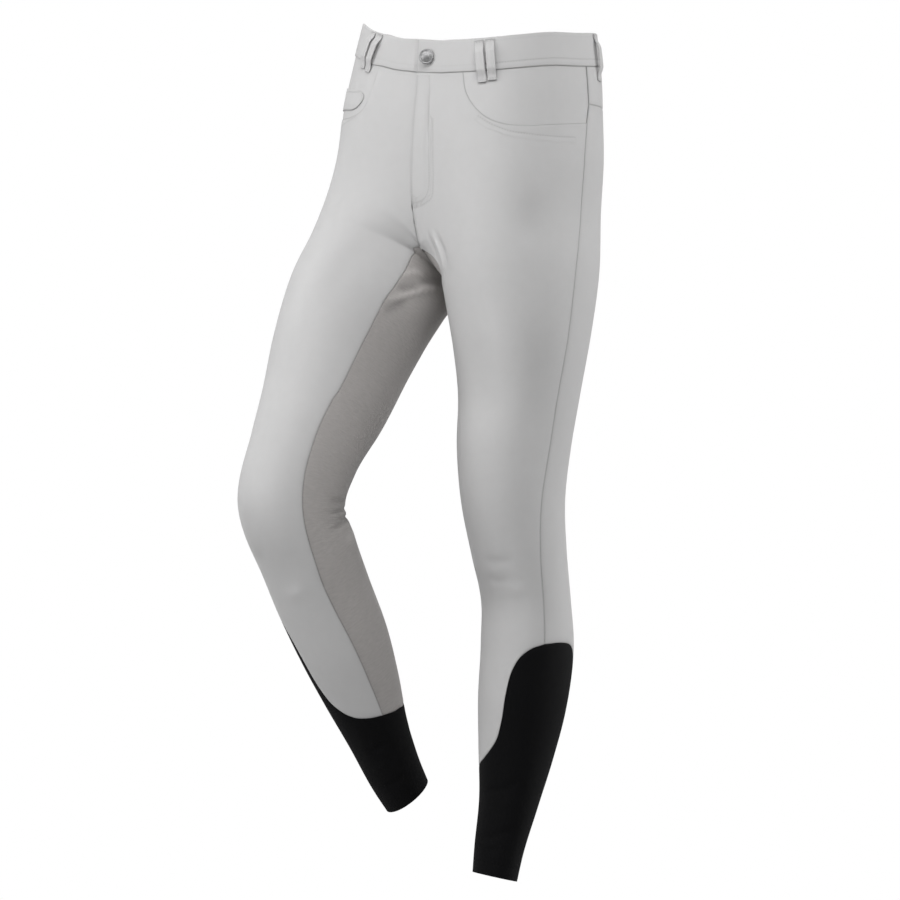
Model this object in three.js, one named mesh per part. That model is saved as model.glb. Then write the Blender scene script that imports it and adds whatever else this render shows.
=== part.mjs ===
import * as THREE from "three";

// Riding breeches, filled out as worn and standing with the right knee bent.
// Millimetres, +Z up. The origin is the centre of the waist opening, the front faces -Y,
// and the wearer's left is +X.

// Cloth thicknesses and the gaps between pieces
const WALL = 1.4;
const CUFF_WALL = 1.2;
const COIN_WALL = 0.9;
const COIN_GAP = 0.5;
const BAND_WALL = 2.2;
const BAND_PROUD = 0.5;
const FACING_DEPTH = 0.8;
const SEAM_GAP = 0.3;

// Distances down the cloth from the waist edge
const BAND_HEIGHT = 40;
const YOKE_SIDE = 88;
const YOKE_BACK = 108;
const POCKET_END = 112;
const SEAT_TOP = 135;
const FRONT_TIP = 256;
const CROTCH = 290;
const LEG_START = 110;
const CROTCH_FADE = 85;
const HEM = 985;

// The waist edge rises to both sides, a little more on the right, where the hip is higher
const LEFT_RISE_RATE = 0.085;
const RIGHT_RISE_RATE = 0.108;
const CORNER_START = 70;
const CORNER_SPAN = 60;
const CORNER_LIFT = 10;
const LIFT_FADE = 190;

// The waist edge sits lower at the sides and back, so that from the front they stay behind it:
// angle round the section, as in the seams below, against the drop there
const DROP = ["psi", "drop"];
const LEFT_DROPS = [
  [-180, 2.5], [-90, 3], [-62, 1], [-40, -1.2], [-20, -1.6], [0, 2], [30, 6.5], [60, 14],
  [94, 18], [180, 18],
];
const RIGHT_DROPS = [
  [-180, 2.5], [-120, 2], [-90, -1], [-80, -2.5], [-70, -5], [-60, -6.5], [-50, -5.5], [-25, 14],
  [0, 31], [20, 34], [60, 31], [120, 22], [180, 18],
];

// Sections down each half, one row each: distance along the cloth, section centre, forward
// tilt, sideways lean, and half widths outwards, inwards, to the front and to the back
const SECTION = ["v", "x", "y", "z", "tilt", "lean", "out", "inn", "front", "back"];
const LEFT_SECTIONS = [
  [0, 45, 0, 0, -9, 0, 98, 45, 108, 106],
  [40, 48, 0, -40, -8, 0, 100, 48, 110, 109],
  [105, 55, -2, -105, -4, 0, 98, 55, 114, 107],
  [160, 62, -4, -160, -1, 0, 94, 62, 116, 104],
  [215, 70, -8, -215, 0, 0, 86, 69, 114, 99],
  [290, 77, -16, -290, 0, 1, 84, 71, 104, 96],
  [350, 78, -21, -350, 0, 1, 80, 69, 91, 88],
  [430, 77, -25, -430, 1, 0, 69, 61, 75, 77],
  [490, 76, -26, -490, 1, 0, 61, 60, 76, 67],
  [550, 75, -24, -550, -3, 1, 55, 56, 71, 59],
  [610, 74, -14, -610, -8, 1, 52, 52, 62, 54],
  [665, 73, -4, -665, -6, 2, 50, 50, 53, 54],
  [715, 71, 1, -715, 0, 3, 51, 52, 56, 57],
  [785, 66, -2, -785, 6, 5, 48, 50, 54, 54],
  [840, 60, -8, -840, 8, 6, 42, 43, 43, 48],
  [900, 54, -17, -900, 9, 6, 35, 33, 30, 38],
  [955, 48, -26, -955, 10, 6, 29, 28, 25, 31],
  [985, 46, -30, -984, 12, 6, 27, 26, 23, 28],
];
const RIGHT_SECTIONS = [
  [0, 45, 0, 0, -9, 0, 102, 45, 109, 106],
  [40, 49, -3, -40, -7, 0, 107, 49, 113, 109],
  [105, 57, -10, -105, 0, 0, 106, 57, 120, 107],
  [160, 63, -19, -158, 7, 0, 99, 63, 120, 104],
  [215, 70, -38, -208, 15, 0, 94, 70, 112, 101],
  [290, 77, -76, -271, 24, 0, 88, 77, 101, 94],
  [350, 78, -111, -322, 28, 0, 88, 75, 99, 91],
  [430, 78, -152, -393, 28, 0, 82, 63, 90, 82],
  [490, 78, -183, -446, 28, 1, 71, 61, 79, 74],
  [550, 77, -212, -499, 26, 1, 62, 57, 74, 60],
  [610, 76, -226, -556, 2, 2, 64, 52, 75, 53],
  [665, 74, -212, -612, -24, 3, 56, 52, 58, 59],
  [715, 72, -190, -657, -27, 4, 55, 50, 56, 58],
  [785, 66, -158, -719, -27, 6, 51, 46, 54, 54],
  [840, 63, -134, -768, -28, 7, 46, 40, 46, 47],
  [900, 59, -109, -822, -30, 9, 40, 31, 34, 37],
  [955, 54, -85, -870, -35, 13, 34, 28, 29, 30],
  [985, 51, -71, -894, -40, 17, 30, 26, 26, 28],
];

// Centre seam, front and back, where the two halves meet in the middle
const CENTRE = ["v", "frontY", "frontZ", "backY", "backZ"];
const CENTRE_SEAM = [
  [0, -108, -17, 106, 17],
  [40, -110, -56, 109, -25],
  [105, -117, -112, 107, -98],
  [160, -121, -164, 103, -156],
  [215, -119, -214, 97, -208],
  [240, -112, -243, 86, -238],
  [250, -108, -254.5, 76, -250],
  [262, -94, -268, 62, -265],
  [280, -65, -290, 22, -290],
  [290, -42, -300, -42, -300],
];

// Lengthwise seams: distance down the cloth against the angle round the section, where
// -180 is the inside or centre front, -90 the front, 0 the outer side and 90 the back
const SIDE_SEAM = [
  [40, 9], [88, 10], [112, 7], [148, 4], [230, 2], [290, -2], [376, -4], [434, -6],
  [492, -8], [550, -14], [612, -21], [660, -24], [711, -25],
];
const LEFT_FRONT_SEAM = [
  [256, -180], [262, -160], [269, -140], [279, -130], [290, -132], [306, -146], [330, -154],
  [366, -158], [434, -156], [500, -149], [560, -146], [610, -148], [680, -144], [762, -150],
  [867, -156],
];
const RIGHT_FRONT_SEAM = [
  [256, -180], [262, -171], [270, -163], [283, -153], [290, -151.5], [297, -151], [326, -154],
  [351, -157], [388, -157.5], [434, -156], [484, -152], [500, -149], [560, -146], [610, -148], [680, -144], [762, -150],
  [867, -156],
];
const BACK_SEAM = [
  [135, 180], [138, 158], [145, 136], [157, 115], [175, 96], [200, 80], [240, 69], [290, 64],
  [350, 64], [430, 67], [550, 71], [650, 71], [760, 68], [825, 66],
];

// Crosswise seams, same two columns
const LEFT_SCOOP = [
  [40, -79], [66, -77], [90, -70], [106, -61], [114, -51], [117, -38], [116, -22], [112, 7],
];
const RIGHT_SCOOP = [
  [40, -85.8], [54, -85.6], [72, -85.3], [90, -84.5], [103, -81.5], [111.5, -73], [115.5, -59],
  [115, -32], [112, 7],
];
const CUFF_FRONT = [
  [867, -156], [861, -130], [854, -110], [842, -92], [828, -80], [805, -73], [778, -70],
  [748, -65], [729, -56], [717, -42], [711, -25],
];
const CUFF_BACK = [
  [711, -25], [710, 0], [714, 22], [726, 38], [750, 50], [788, 58], [825, 66],
];
const CUFF_INNER = [
  [825, 66], [850, 82], [868, 104], [878, 135], [874, 165], [872, 180], [867, 204],
];

// Small pocket: top, outer side and bottom
const COIN_TOP = [
  [76, -75], [80, -42],
];
const COIN_SIDE = [
  [76, -75], [79, -78.8], [84, -80.6], [90, -80],
];
const COIN_BOTTOM = [
  [90, -80], [97, -77.2], [102, -72.5], [104, -62], [105, -42],
];

// Line down the front panel from the top of the pocket opening; it only parts the panel's grid
const DIVIDE_TURN = 8;
const DIVIDE = [
  [130, -97], [250, -94], [420, -94], [600, -88],
];

// Belt loops, each from its top to its end, and the button
const LOOP_WIDTH = 10.4;
const LOOP_WALL = 1.4;
const LOOP_STAND = 3.6;
const LOOP_STEPS = 12;
const LOOP_LEAVES = [0.06, 0.3];
const LOOP_RETURNS = [0.66, 0.9];
const LOOP_TAIL = 3;
const LOOPS = [
  { name: "loop_front_left_a", side: 1, top: [3.5, -66.8], end: [55, -65.4] },
  { name: "loop_front_left_b", side: 1, top: [3, -59.6], end: [53, -59] },
  { name: "loop_front_right_a", side: -1, top: [2, -81.6], end: [50, -76.5] },
  { name: "loop_front_right_b", side: -1, top: [2, -73.9], end: [48, -70] },
  { name: "loop_side_left", side: 1, top: [2, 26], end: [58, 26] },
  { name: "loop_side_right", side: -1, top: [2, 26], end: [58, 26] },
  { name: "loop_back", side: 1, top: [2, 180], end: [58, 180] },
];
const BUTTON_V = 21;
const BUTTON_PSI = -148.5;
const BUTTON_RADIUS = 8.8;
const BUTTON_EDGE = 1.6;
const BUTTON_DOME = 2.2;
const BUTTON_BEVEL = 0.6;
const BUTTON_LIP = 0.8;
const BUTTON_SHOULDER = 0.55;
const BUTTON_STEPS = 24;
const BUTTON_TURN = 24;
const BUTTON_STAND = 4.2;
const STEM_RADIUS = 2.4;
const STEM_LENGTH = 2.2;

// Underlap of the waistband behind the button
const UNDERLAP_PSI = -137;
const UNDERLAP_NEAR = -172;
const UNDERLAP_EDGE = -178.5;
const UNDERLAP_DROP = 2.6;

// Grid counts
const ROWS_CENTRE = 6;
const ROWS_TIP = 3;
const ROWS_LEG = 19;
const ROWS_SEAT = ROWS_CENTRE + ROWS_TIP;
const ROWS_YOKE = 2;
const ROWS_FACING = 4;
const ROWS_CUFF = 6;
const ROWS_BAND = 2;
const ROWS_COIN = 3;
const COLS_COIN = 5;
const COLS_FRONT = 7;
const COLS_POCKET = 9;
const COLS_BACK = 10;
const COLS_SEAT = 9;
const COLS_TIP = 2;

const MM_PER_DEGREE = 1.3;
const STEP_V = 0.5;
const STEP_PSI = 0.5;
const WELD = 1000;

// Materials
const MAIN_CLOTH = { color: 0xc4c5c6, roughness: 0.85, metalness: 0 };
const GRIP_CLOTH = { color: 0x8c8782, roughness: 0.9, metalness: 0 };
const STRETCH_CLOTH = { color: 0x101012, roughness: 0.8, metalness: 0 };
const BUTTON_METAL = { color: 0x5a5a5c, roughness: 0.4, metalness: 0.9 };

// Smooth reading of a table at any distance, slopes taken from the neighbouring rows
function reader(columns, rows) {
  const slopes = rows.map((row, i) =>
    row.map((value, c) => {
      const a = rows[Math.max(i - 1, 0)];
      const b = rows[Math.min(i + 1, rows.length - 1)];
      if (i === 0 || i === rows.length - 1) return (b[c] - a[c]) / (b[0] - a[0]);
      const before = (value - a[c]) / (row[0] - a[0]);
      const after = (b[c] - value) / (b[0] - row[0]);
      return (before * (b[0] - row[0]) + after * (row[0] - a[0])) / (b[0] - a[0]);
    }),
  );
  return (v) => {
    const last = rows.length - 2;
    let i = 0;
    while (i < last && v >= rows[i + 1][0]) i += 1;
    const span = rows[i + 1][0] - rows[i][0];
    const s = THREE.MathUtils.clamp((v - rows[i][0]) / span, 0, 1);
    const found = {};
    columns.forEach((name, c) => {
      found[name] =
        (1 + 2 * s) * (1 - s) ** 2 * rows[i][c] +
        s * (1 - s) ** 2 * span * slopes[i][c] +
        s * s * (3 - 2 * s) * rows[i + 1][c] +
        s * s * (s - 1) * span * slopes[i + 1][c];
    });
    return found;
  };
}

const leftSection = reader(SECTION, LEFT_SECTIONS);
const rightSection = reader(SECTION, RIGHT_SECTIONS);
const centreSeam = reader(CENTRE, CENTRE_SEAM);
const leftDrop = reader(DROP, LEFT_DROPS);
const rightDrop = reader(DROP, RIGHT_DROPS);
const radians = THREE.MathUtils.degToRad;

function ease(t) {
  return THREE.MathUtils.smoothstep(t, 0, 1);
}

// Vector from a section's inner end to the point where the two halves meet
function toMiddle(section, v, front, closed) {
  const lean = radians(section.lean);
  const tilt = radians(section.tilt);
  const sign = front ? 1 : -1;
  const depth = front ? section.front : section.back;
  const seam = centreSeam(v);
  const across = -(1 - closed) * section.x - closed * section.inn;
  const along = (1 - closed) * depth * sign;
  const x = section.x + across * Math.cos(lean);
  const y = section.y - along * Math.cos(tilt);
  const z = section.z - across * Math.sin(lean) + along * Math.sin(tilt);
  const goalY = front ? seam.frontY : seam.backY;
  const goalZ = front ? seam.frontZ : seam.backZ;
  return new THREE.Vector3(-x, goalY - y, goalZ - z);
}

// Point of the cloth: side is 1 for the wearer's left, v runs down it and psi round it
function cloth(side, v, angle) {
  let psi = angle;
  if (psi > 180) psi = v >= CROTCH ? psi - 360 : 180;
  if (psi < -180) psi = v >= CROTCH ? psi + 360 : -180;
  const section = side > 0 ? leftSection(v) : rightSection(v);
  const front = psi < 0;
  const sign = front ? 1 : -1;
  const depth = front ? section.front : section.back;
  const turn = Math.abs(psi);
  const lean = radians(section.lean);
  const tilt = radians(section.tilt);
  let across = section.out * Math.cos(radians(turn));
  let along = depth * Math.sin(radians(turn));
  const shift = new THREE.Vector3();
  if (turn > 90) {
    const q = (turn - 90) / 90;
    const closed = ease((v - LEG_START) / (CROTCH - LEG_START));
    across = -(1 - closed) * section.x * q - closed * section.inn * Math.sin(radians(turn - 90));
    along = (1 - closed) * depth + closed * depth * Math.cos(radians(turn - 90));
    if (v <= CROTCH) shift.copy(toMiddle(section, v, front, closed));
    else {
      const at = side > 0 ? leftSection(CROTCH) : rightSection(CROTCH);
      shift.copy(toMiddle(at, CROTCH, front, 1));
      shift.multiplyScalar(1 - ease((v - CROTCH) / CROTCH_FADE));
    }
    shift.multiplyScalar(q * q);
  }
  const x = side * (section.x + across * Math.cos(lean) + shift.x);
  const y = section.y - along * sign * Math.cos(tilt) + shift.y;
  const z = section.z - across * Math.sin(lean) + along * sign * Math.sin(tilt) + shift.z;
  const rate = x < 0 ? RIGHT_RISE_RATE : LEFT_RISE_RATE;
  const corner = (Math.max(-x - CORNER_START, 0) / CORNER_SPAN) ** 2;
  const { drop } = side > 0 ? leftDrop(psi) : rightDrop(psi);
  const high = CORNER_LIFT * corner - rate * x - drop;
  const lift = high * (1 - ease(v / LIFT_FADE));
  return new THREE.Vector3(x, y, z + lift);
}

// Outward direction of the cloth; at the middle it never leans into the other half
function outward(side, v, psi) {
  const closedRing = v >= CROTCH;
  const lowV = Math.max(v - STEP_V, closedRing ? CROTCH : 0);
  const highV = closedRing ? Math.min(v + STEP_V, HEM) : Math.min(v + STEP_V, CROTCH);
  const lowPsi = closedRing ? psi - STEP_PSI : Math.max(psi - STEP_PSI, -180);
  const highPsi = closedRing ? psi + STEP_PSI : Math.min(psi + STEP_PSI, 180);
  const down = cloth(side, highV, psi).sub(cloth(side, lowV, psi));
  const round = cloth(side, v, highPsi).sub(cloth(side, v, lowPsi));
  const n = down.cross(round).multiplyScalar(side).normalize();
  const middle = v <= CROTCH && Math.abs(psi) >= 180;
  if (middle && n.x * side > 0) n.setX(0).normalize();
  return n;
}

// Evenly spaced points along a seam given as rows of v and psi
function seam(rows, count) {
  const points = rows.map(([v, psi]) => new THREE.Vector3(v, psi * MM_PER_DEGREE, 0));
  const curve = new THREE.CatmullRomCurve3(points, false, "centripetal");
  const spaced = curve.getSpacedPoints(count).map((p) => ({ v: p.x, psi: p.y / MM_PER_DEGREE }));
  const [firstV, firstPsi] = rows[0];
  const [lastV, lastPsi] = rows[rows.length - 1];
  spaced[0] = { v: firstV, psi: firstPsi };
  spaced[count] = { v: lastV, psi: lastPsi };
  return spaced;
}

function straight(fromV, fromPsi, toV, toPsi, count) {
  return Array.from({ length: count + 1 }, (_, i) => ({
    v: THREE.MathUtils.lerp(fromV, toV, i / count),
    psi: THREE.MathUtils.lerp(fromPsi, toPsi, i / count),
  }));
}

function part(rows, fromV, toV) {
  return rows.filter(([v]) => v >= fromV && v <= toV);
}

function join(...curves) {
  return curves.reduce((all, curve) => all.concat(all.length ? curve.slice(1) : curve), []);
}

function still(point, count) {
  return Array.from({ length: count + 1 }, () => point);
}

// Grid of points filled in between four edges
function patch(top, bottom, left, right) {
  const m = left.length - 1;
  const n = top.length - 1;
  const blend = (key, i, j) => {
    const t = i / m;
    const s = j / n;
    const sides = (1 - t) * top[j][key] + t * bottom[j][key] + (1 - s) * left[i][key] + s * right[i][key];
    const corners =
      (1 - t) * ((1 - s) * top[0][key] + s * top[n][key]) +
      t * ((1 - s) * bottom[0][key] + s * bottom[n][key]);
    return sides - corners;
  };
  return left.map((_, i) => top.map((_, j) => ({ v: blend("v", i, j), psi: blend("psi", i, j) })));
}

// Closed thin body from one or more grids of cloth points that share their common edges
function shell(grids, side, proud, wall) {
  const places = [];
  const found = new Map();
  const lookup = (point) => {
    const on = point.side || side;
    const at = cloth(on, point.v, point.psi);
    const out = outward(on, point.v, point.psi);
    const key = at.toArray().map((c) => Math.round(c * WELD) / WELD).join() + (point.drop || 0);
    if (!found.has(key)) {
      found.set(key, places.length);
      const level = proud - (point.drop || 0);
      const fixed = point.side ? 0 : side;
      const pull = new THREE.Vector3();
      places.push({ height: at.z, at: at.addScaledVector(out, level), out, half: fixed, pull });
    }
    return found.get(key);
  };
  const faces = [];
  grids.forEach((grid) => {
    const ids = grid.map((row) => row.map(lookup));
    for (let i = 0; i + 1 < ids.length; i += 1) {
      for (let j = 0; j + 1 < ids[i].length; j += 1) {
        const corners = [ids[i][j], ids[i + 1][j], ids[i + 1][j + 1], ids[i][j + 1]];
        const order = side > 0 ? corners : corners.reverse();
        faces.push([order[0], order[1], order[2]], [order[0], order[2], order[3]]);
      }
    }
  });
  const whole = faces.filter(([a, b, c]) => a !== b && b !== c && c !== a);
  const used = new Map();
  whole.forEach(([a, b, c]) => [[a, b], [b, c], [c, a]].forEach(([p, q]) => used.set(p + "," + q, [p, q])));
  const rim = [...used.values()].filter(([p, q]) => !used.has(q + "," + p));
  rim.forEach(([p, q]) => {
    const edge = places[q].at.clone().sub(places[p].at).normalize();
    [p, q].forEach((end) => {
      places[end].pull.add(places[end].out.clone().cross(edge).normalize());
    });
  });
  const position = [];
  places.forEach(({ at, out, half, pull }) => {
    const size = pull.length();
    if (size > 0) at.addScaledVector(pull, Math.min(SEAM_GAP / size, SEAM_GAP) / size);
    [at, at.clone().addScaledVector(out, -wall)].forEach((p) => {
      if (half && p.x * half < SEAM_GAP / 2) p.setX((half * SEAM_GAP) / 2);
      position.push(...p.toArray());
    });
  });
  const index = [];
  whole.forEach(([a, b, c]) => {
    index.push(2 * a, 2 * b, 2 * c);
    index.push(2 * a + 1, 2 * c + 1, 2 * b + 1);
  });
  rim.forEach(([p, q]) => {
    if (places[p].height > places[q].height) {
      index.push(2 * q, 2 * p, 2 * p + 1);
      index.push(2 * q, 2 * p + 1, 2 * q + 1);
    } else {
      index.push(2 * q, 2 * p, 2 * q + 1);
      index.push(2 * p, 2 * p + 1, 2 * q + 1);
    }
  });
  const geometry = new THREE.BufferGeometry();
  geometry.setAttribute("position", new THREE.Float32BufferAttribute(position, 3));
  geometry.setIndex(index);
  geometry.computeVertexNormals();
  return geometry;
}

// Strip of cloth that stands off the waistband and is sewn down at both ends
function beltLoop(side, [topV, topPsi], [endV, endPsi]) {
  const position = [];
  const index = [];
  const slant = (endPsi - topPsi) / (endV - topV);
  for (let k = 0; k <= LOOP_STEPS; k += 1) {
    const t = k / LOOP_STEPS;
    const v = THREE.MathUtils.lerp(topV, endV, t);
    const psi = THREE.MathUtils.lerp(topPsi, endPsi, t);
    const out = outward(side, v, psi);
    const below = cloth(side, v + STEP_V, psi + slant * STEP_V);
    const above = cloth(side, v - STEP_V, psi - slant * STEP_V);
    const across = below.sub(above).normalize().cross(out).setLength(LOOP_WIDTH / 2);
    const leaves = THREE.MathUtils.smoothstep(t, ...LOOP_LEAVES);
    const returns = THREE.MathUtils.smoothstep(t, ...LOOP_RETURNS);
    const onBand = 1 - THREE.MathUtils.smoothstep(v, BAND_HEIGHT, endV - LOOP_TAIL);
    const level = SEAM_GAP + BAND_PROUD * onBand + LOOP_STAND * (leaves - returns);
    [level, level + LOOP_WALL].forEach((height) => {
      const middle = cloth(side, v, psi).addScaledVector(out, height);
      position.push(...middle.clone().sub(across).toArray());
      position.push(...middle.clone().add(across).toArray());
    });
  }
  const wall = (a, b, c, d) => index.push(a, c, b, a, d, c);
  const last = 4 * LOOP_STEPS;
  wall(0, 2, 3, 1);
  wall(last, last + 1, last + 3, last + 2);
  for (let k = 0; k < LOOP_STEPS; k += 1) {
    const a = 4 * k;
    const b = a + 4;
    wall(a, a + 1, b + 1, b);
    wall(a + 2, b + 2, b + 3, a + 3);
    wall(a, b, b + 2, a + 2);
    wall(a + 1, a + 3, b + 3, b + 1);
  }
  const geometry = new THREE.BufferGeometry();
  geometry.setAttribute("position", new THREE.Float32BufferAttribute(position, 3));
  geometry.setIndex(index);
  geometry.computeVertexNormals();
  return geometry;
}

// Domed shank button standing on the waistband, turned a little towards the wearer's left
function button() {
  const radius = BUTTON_RADIUS;
  const profile = [
    [0, -STEM_LENGTH],
    [STEM_RADIUS, -STEM_LENGTH],
    [STEM_RADIUS, 0],
    [radius - BUTTON_BEVEL, 0],
    [radius, BUTTON_BEVEL],
    [radius, BUTTON_EDGE],
    [radius - BUTTON_LIP, BUTTON_EDGE + BUTTON_LIP],
    [radius * BUTTON_SHOULDER, BUTTON_EDGE + BUTTON_LIP * BUTTON_DOME],
    [0, BUTTON_EDGE + BUTTON_DOME],
  ];
  const geometry = new THREE.LatheGeometry(
    profile.map(([r, h]) => new THREE.Vector2(r, h)),
    BUTTON_STEPS,
  );
  const out = outward(1, BUTTON_V, BUTTON_PSI);
  const seat = cloth(1, BUTTON_V, BUTTON_PSI).addScaledVector(out, BUTTON_STAND);
  const axis = out.clone().applyAxisAngle(new THREE.Vector3(0, 0, 1), radians(BUTTON_TURN));
  const turn = new THREE.Quaternion().setFromUnitVectors(new THREE.Vector3(0, 1, 0), axis);
  return geometry.applyQuaternion(turn).translate(seat.x, seat.y, seat.z);
}

const breeches = new THREE.Group();

function add(name, geometry, look) {
  const mesh = new THREE.Mesh(geometry, new THREE.MeshStandardMaterial(look));
  mesh.name = name;
  breeches.add(mesh);
}

// Seams as lists of points that neighbouring pieces share
const ROWS_SIDE = ROWS_CENTRE + ROWS_TIP + ROWS_LEG;
const bandBack = straight(BAND_HEIGHT, SIDE_SEAM[0][1], BAND_HEIGHT, 180, COLS_BACK);
const sideYoke = seam(part(SIDE_SEAM, BAND_HEIGHT, YOKE_SIDE), ROWS_YOKE);
const sideGap = straight(YOKE_SIDE, SIDE_SEAM[1][1], POCKET_END, SIDE_SEAM[2][1], ROWS_FACING - ROWS_YOKE);
const sideLeg = seam(part(SIDE_SEAM, POCKET_END, HEM), ROWS_SIDE);
const centreFront = straight(BAND_HEIGHT, -180, FRONT_TIP, -180, ROWS_CENTRE);
const centreTip = straight(FRONT_TIP, -180, CROTCH, -180, ROWS_TIP);
const centreYoke = straight(BAND_HEIGHT, 180, YOKE_BACK, 180, ROWS_YOKE);
const centreBack = straight(YOKE_BACK, 180, SEAT_TOP, 180, ROWS_FACING - ROWS_YOKE);
const centreSeat = straight(SEAT_TOP, 180, CROTCH, 180, ROWS_SEAT);
const backSeat = seam(part(BACK_SEAM, SEAT_TOP, CROTCH), ROWS_SEAT);
const backLeg = seam(part(BACK_SEAM, CROTCH, HEM), ROWS_LEG);
const yokeSeam = straight(YOKE_SIDE, SIDE_SEAM[1][1], YOKE_BACK, 180, COLS_BACK);
const cuffFront = seam(CUFF_FRONT, COLS_FRONT + COLS_POCKET);
const cuffBack = seam(CUFF_BACK, COLS_BACK);
const cuffInner = seam(CUFF_INNER, COLS_SEAT + COLS_TIP);
const crotchBack = straight(CROTCH, backLeg[0].psi, CROTCH, 180, COLS_SEAT);

function bandFront(scoopPsi) {
  return straight(BAND_HEIGHT, -180, BAND_HEIGHT, scoopPsi, COLS_FRONT);
}

function bandPocket(scoopPsi) {
  return straight(BAND_HEIGHT, scoopPsi, BAND_HEIGHT, SIDE_SEAM[0][1], COLS_POCKET);
}

function wrapped(curve) {
  return curve.map(({ v, psi }) => ({ v, psi: psi < 0 ? psi + 360 : psi }));
}

[
  { side: 1, word: "left", frontRows: LEFT_FRONT_SEAM, scoopRows: LEFT_SCOOP },
  { side: -1, word: "right", frontRows: RIGHT_FRONT_SEAM, scoopRows: RIGHT_SCOOP },
].forEach(({ side, word, frontRows, scoopRows }) => {
  const scoop = seam(scoopRows, COLS_POCKET);
  const frontTip = seam(part(frontRows, FRONT_TIP, CROTCH), ROWS_TIP);
  const frontLeg = seam(part(frontRows, CROTCH, HEM), ROWS_LEG);
  const crotchFront = straight(CROTCH, 180, CROTCH, frontLeg[0].psi + 360, COLS_TIP);
  const [scoopV, scoopPsi] = scoopRows[0];
  const cuffMiddle = cuffFront[COLS_FRONT];
  const divideRows = [
    [scoopV, scoopPsi],
    [(scoopV + DIVIDE[0][0]) / 2, scoopPsi - DIVIDE_TURN],
    ...DIVIDE,
    [cuffMiddle.v, cuffMiddle.psi],
  ];
  const divide = seam(divideRows, ROWS_SIDE);
  const inner = join(centreFront, frontTip, frontLeg);
  const innerGrid = patch(bandFront(scoopPsi), cuffFront.slice(0, COLS_FRONT + 1), inner, divide);
  const outerGrid = patch(scoop, cuffFront.slice(COLS_FRONT), divide, sideLeg);
  add("front_" + word, shell([innerGrid, outerGrid], side, 0, WALL), MAIN_CLOTH);

  const facingSide = join(sideYoke, sideGap);
  const facingGrid = patch(bandPocket(scoopPsi), scoop, still(scoop[0], ROWS_FACING), facingSide);
  add("pocket_facing_" + word, shell([facingGrid], side, -FACING_DEPTH, WALL), MAIN_CLOTH);

  const yokeGrid = patch(bandBack, yokeSeam, sideYoke, centreYoke);
  add("yoke_" + word, shell([yokeGrid], side, 0, WALL), MAIN_CLOTH);

  const backGrid = patch(
    yokeSeam,
    cuffBack,
    join(sideGap, sideLeg),
    join(centreBack, backSeat, backLeg),
  );
  add("back_" + word, shell([backGrid], side, 0, WALL), MAIN_CLOTH);

  const seatBack = patch(still(backSeat[0], COLS_SEAT), crotchBack, backSeat, centreSeat);
  const seatTip = patch(
    still(frontTip[0], COLS_TIP),
    straight(CROTCH, -180, CROTCH, frontLeg[0].psi, COLS_TIP),
    centreTip,
    frontTip,
  );
  const seatLeg = patch(join(crotchBack, crotchFront), cuffInner, backLeg, wrapped(frontLeg));
  add("seat_" + word, shell([seatBack, seatTip, seatLeg], side, 0, WALL), GRIP_CLOTH);

  const cuffTop = join(cuffFront, cuffBack, cuffInner);
  const hem = cuffTop.map((_, j) => ({
    v: HEM,
    psi: THREE.MathUtils.lerp(cuffTop[0].psi, cuffTop[0].psi + 360, j / (cuffTop.length - 1)),
  }));
  const cuffSide = straight(cuffTop[0].v, cuffTop[0].psi, HEM, cuffTop[0].psi, ROWS_CUFF);
  const cuffEnd = cuffSide.map(({ v, psi }) => ({ v, psi: psi + 360 }));
  add("cuff_" + word, shell([patch(cuffTop, hem, cuffSide, cuffEnd)], side, 0, CUFF_WALL), STRETCH_CLOTH);
});

// Waistband: the left end laps over the right, which runs on behind the button
function bandTurns(scoopPsi) {
  return join(bandFront(scoopPsi), bandPocket(scoopPsi), bandBack).map(({ psi }) => ({ psi }));
}
const underlap = [
  { psi: UNDERLAP_PSI, side: 1, drop: UNDERLAP_DROP },
  { psi: UNDERLAP_NEAR, side: 1, drop: UNDERLAP_DROP },
  { psi: UNDERLAP_EDGE, drop: UNDERLAP_DROP },
  { psi: UNDERLAP_NEAR },
];
function bandGrid(columns) {
  return Array.from({ length: ROWS_BAND + 1 }, (_, i) =>
    columns.map((column) => ({ ...column, v: (BAND_HEIGHT * i) / ROWS_BAND })),
  );
}
const leftTurns = bandTurns(LEFT_SCOOP[0][1]);
const rightTurns = underlap.concat(bandTurns(RIGHT_SCOOP[0][1]).slice(1));
add("waistband_left", shell([bandGrid(leftTurns)], 1, BAND_PROUD, BAND_WALL), MAIN_CLOTH);
add("waistband_right", shell([bandGrid(rightTurns)], -1, BAND_PROUD, BAND_WALL), MAIN_CLOTH);

// Small pocket on the right pocket facing
const coinEnd = straight(...COIN_TOP[1], ...COIN_BOTTOM[COIN_BOTTOM.length - 1], ROWS_COIN);
const coinGrid = patch(
  seam(COIN_TOP, COLS_COIN),
  seam(COIN_BOTTOM, COLS_COIN),
  seam(COIN_SIDE, ROWS_COIN),
  coinEnd,
);
const coinProud = COIN_WALL + COIN_GAP - FACING_DEPTH;
add("coin_pocket", shell([coinGrid], -1, coinProud, COIN_WALL), MAIN_CLOTH);

LOOPS.forEach(({ name, side, top, end }) => add(name, beltLoop(side, top, end), MAIN_CLOTH));
add("button", button(), BUTTON_METAL);

export default breeches;
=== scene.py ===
import math

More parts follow.
